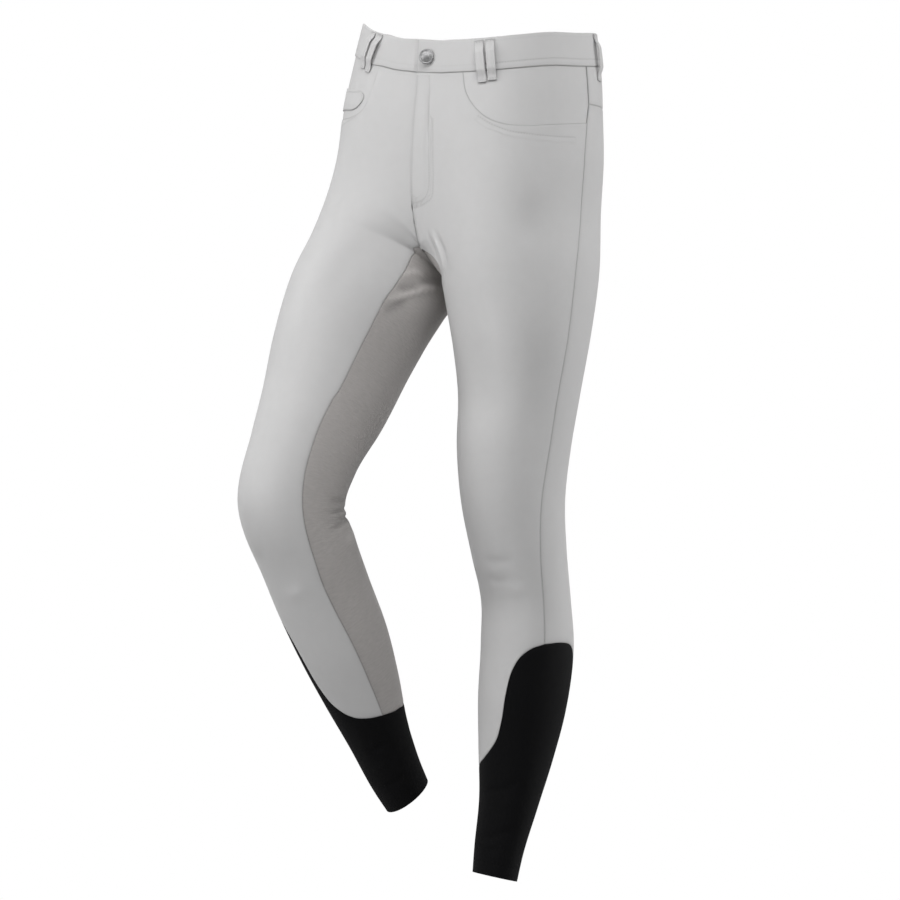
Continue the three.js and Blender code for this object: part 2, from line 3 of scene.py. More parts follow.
import bpy
import numpy as np
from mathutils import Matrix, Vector


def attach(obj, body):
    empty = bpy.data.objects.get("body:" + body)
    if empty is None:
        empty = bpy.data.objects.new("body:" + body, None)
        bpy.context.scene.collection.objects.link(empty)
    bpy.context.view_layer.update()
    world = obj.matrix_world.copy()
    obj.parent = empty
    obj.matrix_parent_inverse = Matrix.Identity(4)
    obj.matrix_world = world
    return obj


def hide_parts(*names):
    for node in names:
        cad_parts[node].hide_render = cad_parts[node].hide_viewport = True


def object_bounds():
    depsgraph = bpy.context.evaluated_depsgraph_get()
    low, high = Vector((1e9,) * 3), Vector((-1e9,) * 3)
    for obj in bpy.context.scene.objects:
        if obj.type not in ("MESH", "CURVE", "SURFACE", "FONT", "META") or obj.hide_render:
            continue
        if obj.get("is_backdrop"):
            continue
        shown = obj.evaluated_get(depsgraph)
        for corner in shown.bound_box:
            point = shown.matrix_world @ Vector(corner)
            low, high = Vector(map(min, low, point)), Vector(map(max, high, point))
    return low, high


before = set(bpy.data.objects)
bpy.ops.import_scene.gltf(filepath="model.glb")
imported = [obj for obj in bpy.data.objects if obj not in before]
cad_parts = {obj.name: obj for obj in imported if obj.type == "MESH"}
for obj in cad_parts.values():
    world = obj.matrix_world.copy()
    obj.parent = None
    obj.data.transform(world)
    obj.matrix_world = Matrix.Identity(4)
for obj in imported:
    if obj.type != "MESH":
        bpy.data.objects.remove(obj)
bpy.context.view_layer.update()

# Riding breeches, filled out as worn. Lengths in millimetres until a mesh is made; +Z up,
# the front faces -Y and the wearer's left is +X.

BAND_HEIGHT = 40
YOKE_SIDE = 88
YOKE_BACK = 108
POCKET_END = 112
SEAT_TOP = 135
FRONT_TIP = 256
CROTCH = 290
CROTCH_FADE = 85
HEM = 985
WALL = 1.2
FACING_DEPTH = 0.8
BAND_WALL = 2.2
BAND_PROUD = 0.5

# Rise of the waist edge towards each side
LEFT_RISE_RATE = 0.085
RIGHT_RISE_RATE = 0.108
CORNER_START = 70
CORNER_SPAN = 60
CORNER_LIFT = 10
LIFT_FADE = 190

# Line down each front panel from the top of the pocket opening
DIVIDE_TURN = 8

LEFT_SECTIONS = [
    (0, 45, 0, 0, -9, 0, 98, 45, 108, 106),
    (40, 48, 0, -40, -8, 0, 100, 48, 110, 109),
    (105, 55, -2, -105, -4, 0, 98, 55, 114, 107),
    (160, 62, -4, -160, -1, 0, 94, 62, 116, 104),
    (215, 70, -8, -215, 0, 0, 86, 69, 114, 99),
    (290, 77, -16, -290, 0, 1, 84, 71, 104, 96),
    (350, 78, -21, -350, 0, 1, 80, 69, 91, 88),
    (430, 77, -25, -430, 1, 0, 69, 61, 75, 77),
    (490, 76, -26, -490, 1, 0, 61, 60, 76, 67),
    (550, 75, -24, -550, -3, 1, 55, 56, 71, 59),
    (610, 74, -14, -610, -8, 1, 52, 52, 62, 54),
    (665, 73, -4, -665, -6, 2, 50, 50, 53, 54),
    (715, 71, 1, -715, 0, 3, 51, 52, 56, 57),
    (785, 66, -2, -785, 6, 5, 48, 50, 54, 54),
    (840, 60, -8, -840, 8, 6, 42, 43, 43, 48),
    (900, 54, -17, -900, 9, 6, 35, 33, 30, 38),
    (955, 48, -26, -955, 10, 6, 29, 28, 25, 31),
    (985, 46, -30, -984, 12, 6, 27, 26, 23, 28),
]
RIGHT_SECTIONS = [
    (0, 45, 0, 0, -9, 0, 102, 45, 109, 106),
    (40, 49, -3, -40, -7, 0, 107, 49, 113, 109),
    (105, 57, -10, -105, 0, 0, 106, 57, 120, 107),
    (160, 63, -19, -158, 7, 0, 99, 63, 120, 104),
    (215, 70, -38, -208, 15, 0, 94, 70, 112, 101),
    (290, 77, -76, -271, 24, 0, 88, 77, 101, 94),
    (350, 78, -111, -322, 28, 0, 88, 75, 99, 91),
    (430, 78, -152, -393, 28, 0, 82, 63, 90, 82),
    (490, 78, -183, -446, 28, 1, 71, 61, 79, 74),
    (550, 77, -212, -499, 26, 1, 62, 57, 74, 60),
    (610, 76, -226, -556, 2, 2, 64, 52, 75, 53),
    (665, 74, -212, -612, -24, 3, 56, 52, 58, 59),
    (715, 72, -190, -657, -27, 4, 55, 50, 56, 58),
    (785, 66, -158, -719, -27, 6, 51, 46, 54, 54),
    (840, 63, -134, -768, -28, 7, 46, 40, 46, 47),
    (900, 59, -109, -822, -30, 9, 40, 31, 34, 37),
    (955, 54, -85, -870, -35, 13, 34, 28, 29, 30),
    (985, 51, -71, -894, -40, 17, 30, 26, 26, 28),
]
CENTRE_SEAM = [
    (0, -108, -17, 106, 17),
    (40, -110, -56, 109, -25),
    (105, -117, -112, 107, -98),
    (160, -121, -164, 103, -156),
    (215, -119, -214, 97, -208),
    (240, -112, -243, 86, -238),
    (250, -108, -254.5, 76, -250),
    (262, -94, -268, 62, -265),
    (280, -65, -290, 22, -290),
    (290, -42, -300, -42, -300),
]
SIDE_SEAM = [
    (40, 9), (88, 10), (112, 7), (148, 4), (230, 2), (290, -2), (376, -4), (434, -6),
    (492, -8), (550, -14), (612, -21), (660, -24), (711, -25),
]
LEFT_FRONT_SEAM = [
    (256, -180), (262, -160), (269, -140), (279, -130), (290, -132), (306, -146), (330, -154),
    (366, -158), (434, -156), (500, -149), (560, -146), (610, -148), (680, -144), (762, -150),
    (867, -156),
]
RIGHT_FRONT_SEAM = [
    (256, -180), (262, -171), (270, -163), (283, -153), (290, -151.5), (297, -151), (326, -154),
    (351, -157), (388, -157.5), (434, -156), (484, -152), (500, -149), (560, -146), (610, -148),
    (680, -144), (762, -150),
    (867, -156),
]
BACK_SEAM = [
    (135, 180), (138, 158), (145, 136), (157, 115), (175, 96), (200, 80), (240, 69), (290, 64),
    (350, 64), (430, 67), (550, 71), (650, 71), (760, 68), (825, 66),
]
LEFT_SCOOP = [
    (40, -79), (66, -77), (90, -70), (106, -61), (114, -51), (117, -38), (116, -22), (112, 7),
]
RIGHT_SCOOP = [
    (40, -85.8), (54, -85.6), (72, -85.3), (90, -84.5), (103, -81.5), (111.5, -73), (115.5, -59),
    (115, -32), (112, 7),
]
DIVIDE = [
    (130, -97), (250, -94), (420, -94), (600, -88),
]
LEFT_DROPS = [
    (-180, 2.5), (-90, 3), (-62, 1), (-40, -1.2), (-20, -1.6), (0, 2), (30, 6.5), (60, 14),
    (94, 18), (180, 18),
]
RIGHT_DROPS = [
    (-180, 2.5), (-120, 2), (-90, -1), (-80, -2.5), (-70, -5), (-60, -6.5), (-50, -5.5), (-25, 14),
    (0, 31), (20, 34), (60, 31), (120, 22), (180, 18),
]
CUFF_FRONT = [
    (867, -156), (861, -130), (854, -110), (842, -92), (828, -80), (805, -73), (778, -70),
    (748, -65), (729, -56), (717, -42), (711, -25),
]
CUFF_BACK = [
    (711, -25), (710, 0), (714, 22), (726, 38), (750, 50), (788, 58), (825, 66),
]
CUFF_INNER = [
    (825, 66), (850, 82), (868, 104), (878, 135), (874, 165), (872, 180), (867, 204),
]
COIN_TOP = [
    (76, -75), (80, -42),
]
COIN_SIDE = [
    (76, -75), (79, -78.8), (84, -80.6), (90, -80),
]
COIN_BOTTOM = [
    (90, -80), (97, -77.2), (102, -72.5), (104, -62), (105, -42),
]


# Smooth reading of a table at any distance down the cloth
def reader(rows):
    rows = np.array(rows, float)
    x, y = rows[:, 0], rows[:, 1:]
    span = np.diff(x)
    rise = np.diff(y, axis=0) / span[:, None]
    before, after = span[:-1, None], span[1:, None]
    slope = np.empty_like(y)
    slope[1:-1] = (rise[:-1] * after + rise[1:] * before) / (before + after)
    slope[0], slope[-1] = rise[0], rise[-1]

    def read(v):
        v = np.clip(v, x[0], x[-1])
        i = np.clip(np.searchsorted(x, v, side="right") - 1, 0, len(x) - 2)
        s = ((v - x[i]) / span[i])[..., None]
        h = span[i][..., None]
        found = (
            (1 + 2 * s) * (1 - s) ** 2 * y[i]
            + s * (1 - s) ** 2 * h * slope[i]
            + s * s * (3 - 2 * s) * y[i + 1]
            + s * s * (s - 1) * h * slope[i + 1]
        )
        return [found[..., k] for k in range(y.shape[1])]

    return read


left_section = reader(LEFT_SECTIONS)
right_section = reader(RIGHT_SECTIONS)
centre_seam = reader(CENTRE_SEAM)
waist_drop = {1: reader(LEFT_DROPS), -1: reader(RIGHT_DROPS)}


def ease(t, low=0.0, high=1.0):
    t = np.clip((np.asarray(t, float) - low) / (high - low), 0, 1)
    return t * t * (3 - 2 * t)


def to_middle(section, v, front, closed):
    x, y, z, tilt, lean, out, inn, fore, aft = section
    tilt, lean = np.radians(tilt), np.radians(lean)
    sign = np.where(front, 1.0, -1.0)
    depth = np.where(front, fore, aft)
    fy, fz, by, bz = centre_seam(v)
    across = -(1 - closed) * x - closed * inn
    along = (1 - closed) * depth * sign
    px = x + across * np.cos(lean)
    py = y - along * np.cos(tilt)
    pz = z - across * np.sin(lean) + along * np.sin(tilt)
    return -px, np.where(front, fy, by) - py, np.where(front, fz, bz) - pz


# Point of the cloth: side is 1 for the wearer's left, v runs down it and psi round it
def base(side, v, psi):
    v, psi = np.broadcast_arrays(np.asarray(v, float), np.asarray(psi, float))
    low = v >= CROTCH
    psi = np.where(psi > 180, np.where(low, psi - 360, 180), psi)
    psi = np.where(psi < -180, np.where(low, psi + 360, -180), psi)
    read = left_section if side > 0 else right_section
    section = read(v)
    x, y, z, tilt, lean, out, inn, fore, aft = section
    front = psi < 0
    sign = np.where(front, 1.0, -1.0)
    depth = np.where(front, fore, aft)
    turn = np.abs(psi)
    inner = turn > 90
    q = np.clip((turn - 90) / 90, 0, 1)
    closed = ease(v, 110, CROTCH)
    inward = -(1 - closed) * x * q - closed * inn * np.sin(q * np.pi / 2)
    across = np.where(inner, inward, out * np.cos(np.radians(turn)))
    along = np.where(
        inner, (1 - closed) * depth + closed * depth * np.cos(q * np.pi / 2), depth * np.sin(np.radians(turn))
    )
    upper = to_middle(section, v, front, closed)
    crotch = np.full(v.shape, float(CROTCH))
    lower = to_middle(read(crotch), crotch, front, 1.0)
    fade = 1 - ease(v, CROTCH, CROTCH + CROTCH_FADE)
    shift = [np.where(v <= CROTCH, u, w * fade) * q * q * inner for u, w in zip(upper, lower)]
    tilt, lean = np.radians(tilt), np.radians(lean)
    px = side * (x + across * np.cos(lean) + shift[0])
    py = y - along * sign * np.cos(tilt) + shift[1]
    pz = z - across * np.sin(lean) + along * sign * np.sin(tilt) + shift[2]
    rate = np.where(px < 0, RIGHT_RISE_RATE, LEFT_RISE_RATE)
    corner = (np.maximum(-px - CORNER_START, 0) / CORNER_SPAN) ** 2
    lift = (CORNER_LIFT * corner - rate * px - waist_drop[side](psi)[0]) * (1 - ease(v, 0, LIFT_FADE))
    return np.stack([px, py, pz + lift], -1)


def unit(a):
    return a / np.maximum(np.linalg.norm(a, axis=-1, keepdims=True), 1e-9)


def outward(side, v, psi, step=0.6):
    v, psi = np.broadcast_arrays(np.asarray(v, float), np.asarray(psi, float))
    low = v >= CROTCH
    v0 = np.where(low, np.maximum(v - step, CROTCH), np.maximum(v - step, 0))
    v1 = np.where(low, np.minimum(v + step, HEM), np.minimum(v + step, CROTCH))
    p0 = np.where(low, psi - step, np.maximum(psi - step, -180))
    p1 = np.where(low, psi + step, np.minimum(psi + step, 180))
    down = base(side, v1, psi) - base(side, v0, psi)
    round_ = base(side, v, p1) - base(side, v, p0)
    n = unit(np.cross(down, round_) * side)
    middle = (v <= CROTCH) & (np.abs(psi) >= 180)
    n[..., 0] = np.where(middle & (n[..., 0] * side > 0), 0, n[..., 0])
    return unit(n)


# Evenly spaced points along a smooth seam given as rows of v and psi
MM_PER_DEGREE = 1.3


def curve(rows, count):
    p = np.array(rows, float) * (1, MM_PER_DEGREE)
    if len(p) == 2:
        fine = p[0] + (p[1] - p[0]) * np.linspace(0, 1, 41)[:, None]
    else:
        p = np.vstack([2 * p[0] - p[1], p, 2 * p[-1] - p[-2]])
        fine = []
        for a, b, c, d in zip(p[:-3], p[1:-2], p[2:-1], p[3:]):
            gaps = [max(np.linalg.norm(m - k), 1e-6) ** 0.5 for k, m in ((a, b), (b, c), (c, d))]
            t = np.cumsum([0, *gaps])
            s = np.linspace(t[1], t[2], 25)[:, None]
            a1 = ((t[1] - s) * a + (s - t[0]) * b) / (t[1] - t[0])
            a2 = ((t[2] - s) * b + (s - t[1]) * c) / (t[2] - t[1])
            a3 = ((t[3] - s) * c + (s - t[2]) * d) / (t[3] - t[2])
            b1 = ((t[2] - s) * a1 + (s - t[0]) * a2) / (t[2] - t[0])
            b2 = ((t[3] - s) * a2 + (s - t[1]) * a3) / (t[3] - t[1])
            fine.append(((t[2] - s) * b1 + (s - t[1]) * b2) / (t[2] - t[1]))
        fine = np.vstack(fine)
    run = np.concatenate([[0], np.cumsum(np.linalg.norm(np.diff(fine, axis=0), axis=1))])
    at = np.linspace(0, run[-1], count + 1)
    return np.stack([np.interp(at, run, fine[:, k]) for k in range(2)], -1) / (1, MM_PER_DEGREE)


def part(rows, low, high):
    return [r for r in rows if low <= r[0] <= high]


def join(*curves):
    return np.vstack([curves[0], *[c[1:] for c in curves[1:]]])


def still(point, count):
    return np.repeat(np.asarray(point, float)[None], count + 1, axis=0)


# Grid of points filled in between four edges
def patch(top, bottom, left, right):
    t = np.linspace(0, 1, len(left))[:, None, None]
    s = np.linspace(0, 1, len(top))[None, :, None]
    sides = (1 - t) * top[None] + t * bottom[None] + (1 - s) * left[:, None] + s * right[:, None]
    corners = (1 - t) * ((1 - s) * top[0] + s * top[-1]) + t * ((1 - s) * bottom[0] + s * bottom[-1])
    return sides - corners


# Extra lines of points close inside the edges of a grid, where the cloth dips into its seams
def tighten(grid, share=0.35):
    for axis in (0, 1):
        g = np.swapaxes(grid, 0, axis)
        first = g[:1] + (g[1:2] - g[:1]) * share
        last = g[-1:] + (g[-2:-1] - g[-1:]) * share
        grid = np.swapaxes(np.concatenate([g[:1], first, g[1:-1], last, g[-1:]]), 0, axis)
    return grid


# Folds, given one by one. Each row: side, line as rows of v and psi, width and height in mm (minus is a
# trough), share of the length over which each end fades
FOLDS = [
    # crotch, left half: a sharp ridge between two hollows
    (1, [(236, -135), (250, -127), (264, -120), (282, -117), (302, -120)], 1.9, 2.0, 0.35),
    (1, [(238, -127), (252, -119), (268, -112), (290, -110)], 3.2, -1.9, 0.4),
    (1, [(236, -144), (250, -137), (264, -131), (276, -127)], 3.2, -1.7, 0.4),
    # crotch, right half
    (-1, [(330, -154), (318, -156), (311, -159), (309, -166)], 2.4, 2.6, 0.35),
    (-1, [(371, -158), (354, -165), (330, -169), (303, -173)], 2.6, 3.2, 0.3),
    (-1, [(322, -162), (308, -168), (292, -176)], 5, -2.6, 0.4),
    (-1, [(350, -158), (338, -163), (322, -168)], 5, -2.2, 0.4),
    (-1, [(384, -160), (372, -166), (352, -172)], 6, -1.8, 0.4),
    # beside the fly stitches
    (1, [(54, -149), (80, -147.5), (108, -146), (136, -145)], 2.0, -2.0, 0.35),
    (1, [(60, -142), (110, -139.5), (170, -137)], 1.6, 0.8, 0.3),
    # behind the bent knee
    (-1, [(619, 196), (617, 168), (613, 138), (611, 110)], 2.4, -2.6, 0.4),
    (-1, [(627, 198), (626, 172), (626, 142), (626, 112)], 2.2, -2.0, 0.45),
    (-1, [(637, 194), (633, 168), (629, 140), (626, 112)], 2.6, -2.8, 0.35),
    (-1, [(606, 190), (604, 160), (600, 128)], 5, -1.6, 0.4),
    (-1, [(622, 130), (616, 108), (612, 84)], 4, -2.2, 0.4),
    (-1, [(642, 118), (644, 96), (640, 74)], 5, -2.0, 0.4),
    (-1, [(600, 104), (594, 88), (592, 70)], 5, -1.5, 0.45),
    (-1, [(652, 176), (656, 150), (652, 128)], 6, 1.4, 0.4),
    # shin under the knee and kneecap
    (-1, [(640, -96), (646, -72), (642, -48)], 8, -1.2, 0.45),
    (-1, [(676, -130), (684, -104), (680, -84)], 9, 1.0, 0.45),
    # left knee, faint
    (1, [(606, -98), (610, -74), (606, -46)], 6, -0.9, 0.45),
    (1, [(626, -100), (632, -80), (630, -58)], 5, -0.8, 0.45),
    (1, [(640, -76), (644, -56), (641, -38)], 7, 0.9, 0.45),
    (1, [(598, 160), (604, 132), (602, 104)], 5, -1.6, 0.4),
    (1, [(616, 150), (620, 122), (614, 96)], 4, -1.8, 0.4),
    (1, [(633, 156), (630, 130), (632, 110)], 5, -1.5, 0.4),
    # cuffs
    (1, [(884, -120), (888, -86), (878, -48), (860, -22)], 5, -1.1, 0.35),
    (1, [(902, -70), (896, -40), (899, -12)], 4, 0.9, 0.4),
    (1, [(936, -118), (941, -84), (930, -40), (918, -6)], 5, -1.3, 0.35),
    (1, [(956, -100), (953, -66), (946, -36)], 4, -1.1, 0.4),
    (1, [(920, 40), (926, 80), (918, 120)], 5, -1.2, 0.4),
    (1, [(880, 60), (874, 96), (882, 128)], 5, -1.0, 0.4),
    (1, [(945, 96), (950, 140), (944, 170)], 4, -1.1, 0.4),
    (-1, [(898, -150), (902, -120), (894, -92)], 5, -1.3, 0.35),
    (-1, [(946, -156), (950, -122), (942, -90)], 4, -1.3, 0.35),
    (-1, [(922, -140), (926, -108), (920, -84)], 4, 0.8, 0.4),
    (-1, [(912, 60), (918, 100), (910, 140)], 5, -1.3, 0.4),
    (-1, [(870, 50), (866, 90), (872, 120)], 5, -1.1, 0.4),
    (-1, [(948, 30), (954, 76), (948, 118)], 4, -1.2, 0.4),
    # thighs: long soft pulls
    (1, [(186, -38), (214, -34), (262, -36)], 16, -1.6, 0.45),
    (1, [(300, -70), (372, -62), (452, -58)], 16, 1.2, 0.45),
    (1, [(320, -34), (410, -30), (500, -34)], 14, -1.0, 0.45),
    (-1, [(262, -128), (330, -118), (410, -112)], 16, -1.2, 0.45),
    (-1, [(300, -96), (390, -88), (470, -84)], 15, 1.1, 0.45),
    # hidden sides: under the seat and down the back of the thighs
    (1, [(262, 168), (290, 140), (306, 108), (312, 84)], 7, -2.4, 0.3),
    (1, [(286, 172), (312, 148), (322, 122)], 6, -1.8, 0.35),
    (1, [(246, 160), (262, 132), (268, 104)], 8, 1.5, 0.4),
    (1, [(338, 132), (352, 108), (350, 84)], 7, -1.3, 0.4),
    (1, [(420, 140), (470, 128), (520, 132)], 12, 1.2, 0.45),
    (-1, [(258, 170), (286, 144), (300, 112), (306, 90)], 7, -2.0, 0.3),
    (-1, [(282, 172), (300, 150), (314, 118)], 6, -1.6, 0.35),
    (-1, [(322, 142), (336, 112), (334, 88)], 8, -1.2, 0.4),
    (-1, [(400, 130), (460, 122), (520, 130)], 12, 1.1, 0.45),
    (-1, [(250, 66), (300, 58), (360, 62)], 14, -1.3, 0.45),
    (1, [(250, 62), (300, 54), (350, 56)], 13, -1.1, 0.45),
    # back of the waist and hips
    (1, [(122, 150), (150, 128), (172, 98)], 12, -1.2, 0.45),
    (-1, [(126, 152), (156, 124), (170, 92)], 12, -1.0, 0.45),
]


def nearest(points, line):
    best = np.full(points.shape[:-1], 1e9)
    along = np.zeros(points.shape[:-1])
    which = np.zeros(points.shape[:-1], int)
    run = np.concatenate([[0], np.cumsum(np.linalg.norm(np.diff(line, axis=0), axis=1))])
    for i in range(len(line) - 1):
        a, d = line[i], line[i + 1] - line[i]
        t = np.clip(((points - a) @ d) / max(d @ d, 1e-9), 0, 1)
        gap = np.linalg.norm(points - a - t[..., None] * d, axis=-1)
        closer = gap < best
        best = np.where(closer, gap, best)
        along = np.where(closer, (run[i] + t * (run[i + 1] - run[i])) / run[-1], along)
        which = np.where(closer, i, which)
    return best, along, which


def fold_lines():
    made = []
    for side, rows, width, height, fade in FOLDS:
        at = curve(rows, 20)
        made.append((side, base(side, at[:, 0], at[:, 1]), width, height, fade))
    return made


FOLD_LINES = fold_lines()


def relief(side, points):
    level = np.zeros(points.shape[:-1])
    flat = points.reshape(-1, 3)
    for on, line, width, height, fade in FOLD_LINES:
        if on != side:
            continue
        low, high = line.min(0) - 3 * width, line.max(0) + 3 * width
        inside = np.all((flat > low) & (flat < high), axis=1)
        if not inside.any():
            continue
        gap, along, _ = nearest(flat[inside], line)
        ends = ease(along, 0, fade) * (1 - ease(along, 1 - fade, 1))
        level.reshape(-1)[inside] += height * np.exp(-((gap / width) ** 2)) * ends
    return level


# Length round the cloth from the outer side, so that the weave runs on from panel to panel
ROUND_V = np.linspace(0, HEM, 110)
ROUND_PSI = np.arange(-240.0, 261.0, 4.0)


def round_table(side):
    v, psi = np.meshgrid(ROUND_V, ROUND_PSI, indexing="ij")
    p = base(side, v, psi)
    steps = np.linalg.norm(np.diff(p, axis=1), axis=-1)
    run = np.concatenate([np.zeros((len(ROUND_V), 1)), np.cumsum(steps, axis=1)], 1)
    return run - run[:, [int(np.argmin(np.abs(ROUND_PSI)))]]


ROUND = {side: round_table(side) for side in (1, -1)}


def round_length(side, v, psi):
    table = ROUND[side]
    a = np.clip(v / (ROUND_V[1] - ROUND_V[0]), 0, len(ROUND_V) - 1.001)
    b = np.clip((psi - ROUND_PSI[0]) / (ROUND_PSI[1] - ROUND_PSI[0]), 0, len(ROUND_PSI) - 1.001)
    i, j = a.astype(int), b.astype(int)
    s, t = a - i, b - j
    upper = (1 - t) * table[i, j] + t * table[i, j + 1]
    lower = (1 - t) * table[i + 1, j] + t * table[i + 1, j + 1]
    return (1 - s) * upper + s * lower


def straight(v0, psi0, v1, psi1, count):
    return np.linspace([v0, psi0], [v1, psi1], count + 1)


def make_mesh(name, grids, uvs, extra, flip, close=()):
    verts = np.concatenate([g.reshape(-1, 3) for g in grids]) / 1000
    faces, at = [], 0
    for g in grids:
        rows, cols = g.shape[:2]
        ids = np.arange(rows * cols).reshape(rows, cols) + at
        quads = np.stack([ids[:-1, :-1], ids[1:, :-1], ids[1:, 1:], ids[:-1, 1:]], -1).reshape(-1, 4)
        faces.append(quads[:, ::-1] if flip else quads)
        at += rows * cols
    corner = np.concatenate(faces)
    key = np.round(verts * 1e5).astype(np.int64)
    _, first, back = np.unique(key, axis=0, return_index=True, return_inverse=True)
    welded = back.reshape(-1)[corner]
    kept, loops = [], []
    for quad, own in zip(welded.tolist(), corner.tolist()):
        pick = [k for k in range(4) if quad[k] != quad[k - 1]]
        if len(pick) > 2 and len({quad[k] for k in pick}) == len(pick):
            kept.append([quad[k] for k in pick])
            loops.extend(own[k] for k in pick)
    for ring in close:
        own = list(ring)
        kept.append([int(back.reshape(-1)[k]) for k in own])
        loops.extend(own)
    mesh = bpy.data.meshes.new(name)
    mesh.from_pydata(verts[first].tolist(), [], kept)
    mesh.polygons.foreach_set("use_smooth", np.ones(len(kept), bool))
    flat = np.concatenate([u.reshape(-1, 2) for u in uvs])[loops]
    layer = mesh.uv_layers.new(name="cloth")
    layer.data.foreach_set("uv", flat.astype(np.float32).reshape(-1))
    for word, values in extra.items():
        store = mesh.attributes.new(word, "FLOAT", "POINT")
        flat = np.concatenate([x.reshape(-1) for x in values])[first]
        store.data.foreach_set("value", flat.astype(np.float32))
    ob = bpy.data.objects.new(name, mesh)
    bpy.context.collection.objects.link(ob)
    return ob


def edge_gaps(points):
    across = np.linalg.norm(np.diff(points, axis=1), axis=-1)
    down = np.linalg.norm(np.diff(points, axis=0), axis=-1)
    left = np.pad(np.cumsum(across, axis=1), ((0, 0), (1, 0)))
    top = np.pad(np.cumsum(down, axis=0), ((1, 0), (0, 0)))
    return {"l": left, "r": left[:, -1:] - left, "t": top, "b": top[-1:] - top}


FAR = 60.0
DIP = 0.55
DIP_WIDTH = 1.5
# The centre front edge lies open down to the foot of the fly
OPEN_EDGE = 2.2
FLY_FOOT = (200, 214)
# Raised strip of the left front beside the rise seam: height, distance in, half width and its start
RAISED_EDGE = 0.8
RAISED_IN = 2.6
RAISED_WIDTH = 1.3
RAISED_START = (205, 222)
# How far round a stitched line its marks reach
STITCH_REACH = 7


def stitch_line(side, grid, points, rows):
    """Signed distance to a stitched line, where it holds, and length along it, in mm."""
    line2 = curve(rows, 36)
    line3 = base(side, line2[:, 0], line2[:, 1])
    gap, along, which = nearest(points, line3)
    d = np.diff(line2, axis=0)[which]
    off = grid - line2[:-1][which]
    sign = np.sign(d[..., 0] * off[..., 1] - d[..., 1] * off[..., 0])
    size = np.linalg.norm(np.diff(line3, axis=0), axis=1).sum()
    held = (gap < STITCH_REACH) & (along > 0.002) & (along < 0.998)
    return sign * gap, held * 1.0, along * size


def panel(name, side, grids, seams, lines=(), proud=0.0, wall=WALL, lift=None, wraps=(), dip=DIP, edge=0.0):
    """Thin closed piece of cloth; seams names each grid's sewn edges from t, b, l and r, and lines are
    stitched lines: an edge letter and an offset, or rows of v and psi."""
    points, uvs = [], []
    extra = {"seam": [], "line": [], "mask": [], "run": [], "fold": []}
    for k, grid in enumerate(grids):
        g = tighten(grid)
        p = base(side, g[..., 0], g[..., 1])
        n = outward(side, g[..., 0], g[..., 1])
        gaps = edge_gaps(p)
        seam = np.full(p.shape[:2], FAR)
        for letter in seams[k]:
            is_open = lift is not None and k == 0 and letter == "l"
            hidden = OPEN_EDGE * (1 - ease(g[..., 0], *FLY_FOOT)) if is_open else 0
            seam = np.minimum(seam, gaps[letter] + hidden)
        folds = relief(side, p)
        level = proud + folds - dip * np.exp(-((seam / DIP_WIDTH) ** 2))
        if edge and k == 0:
            beside = np.exp(-(((gaps["l"] - RAISED_IN) / RAISED_WIDTH) ** 2))
            level = level + edge * beside * ease(g[..., 0], *RAISED_START)
        if lift is not None and k == 0:
            level = level + lift(g, p, gaps)
        line = np.full(p.shape[:2], FAR)
        mask = np.zeros(p.shape[:2])
        run = np.zeros(p.shape[:2])
        for row in lines:
            if isinstance(row, tuple):
                if k != row[2]:
                    continue
                off = gaps[row[0]] - row[1]
                held = np.ones(p.shape[:2])
                axis = 1 if row[0] in "tb" else 0
                steps = np.linalg.norm(np.diff(p, axis=axis), axis=-1)
                pad = ((0, 0), (1, 0)) if axis else ((1, 0), (0, 0))
                far = np.pad(np.cumsum(steps, axis=axis), pad)
            else:
                off, held, far = stitch_line(side, g, p, row)
            closer = (np.abs(off) < np.abs(line)) & (held > 0)
            line = np.where(closer, off, line)
            mask = np.where(closer, held, mask)
            run = np.where(closer, far, run)
        # The fold relief height is kept as an attribute for the painted fold shade and highlight in the cloth
        # colour
        values = {"seam": seam, "line": line, "mask": mask, "run": run, "fold": folds}
        for word, layer in values.items():
            extra[word].append(layer)
        u = round_length(side, g[..., 0], g[..., 1])
        if k in wraps:
            start_psi = np.full(g.shape[:2], -180.0)
            crotch = np.full(g.shape[:2], float(CROTCH))
            end = round_length(side, crotch, np.full(g.shape[:2], 180.0))
            u = end + u - round_length(side, g[..., 0], start_psi)
        uvs.append(np.stack([u * side, -g[..., 0]], -1))
        points.append(p + n * level[..., None])
    ob = make_mesh(name, points, uvs, extra, side < 0)
    m = ob.modifiers.new("wall", "SOLIDIFY")
    m.thickness = wall / 1000
    m.offset = -1
    return ob


# Cells of the fine grids for each cell of the solid
def rows_of(n):
    return 9 * n


def cols_of(n):
    return 6 * n


ROWS_CENTRE, ROWS_TIP, ROWS_LEG, ROWS_YOKE, ROWS_FACING, ROWS_CUFF = (rows_of(n) for n in (6, 3, 19, 2, 4, 7))
COLS_FRONT, COLS_POCKET, COLS_BACK, COLS_SEAT, COLS_TIP = (cols_of(n) for n in (7, 9, 10, 9, 2))
ROWS_SIDE = ROWS_CENTRE + ROWS_TIP + ROWS_LEG
ROWS_SEAT = ROWS_CENTRE + ROWS_TIP

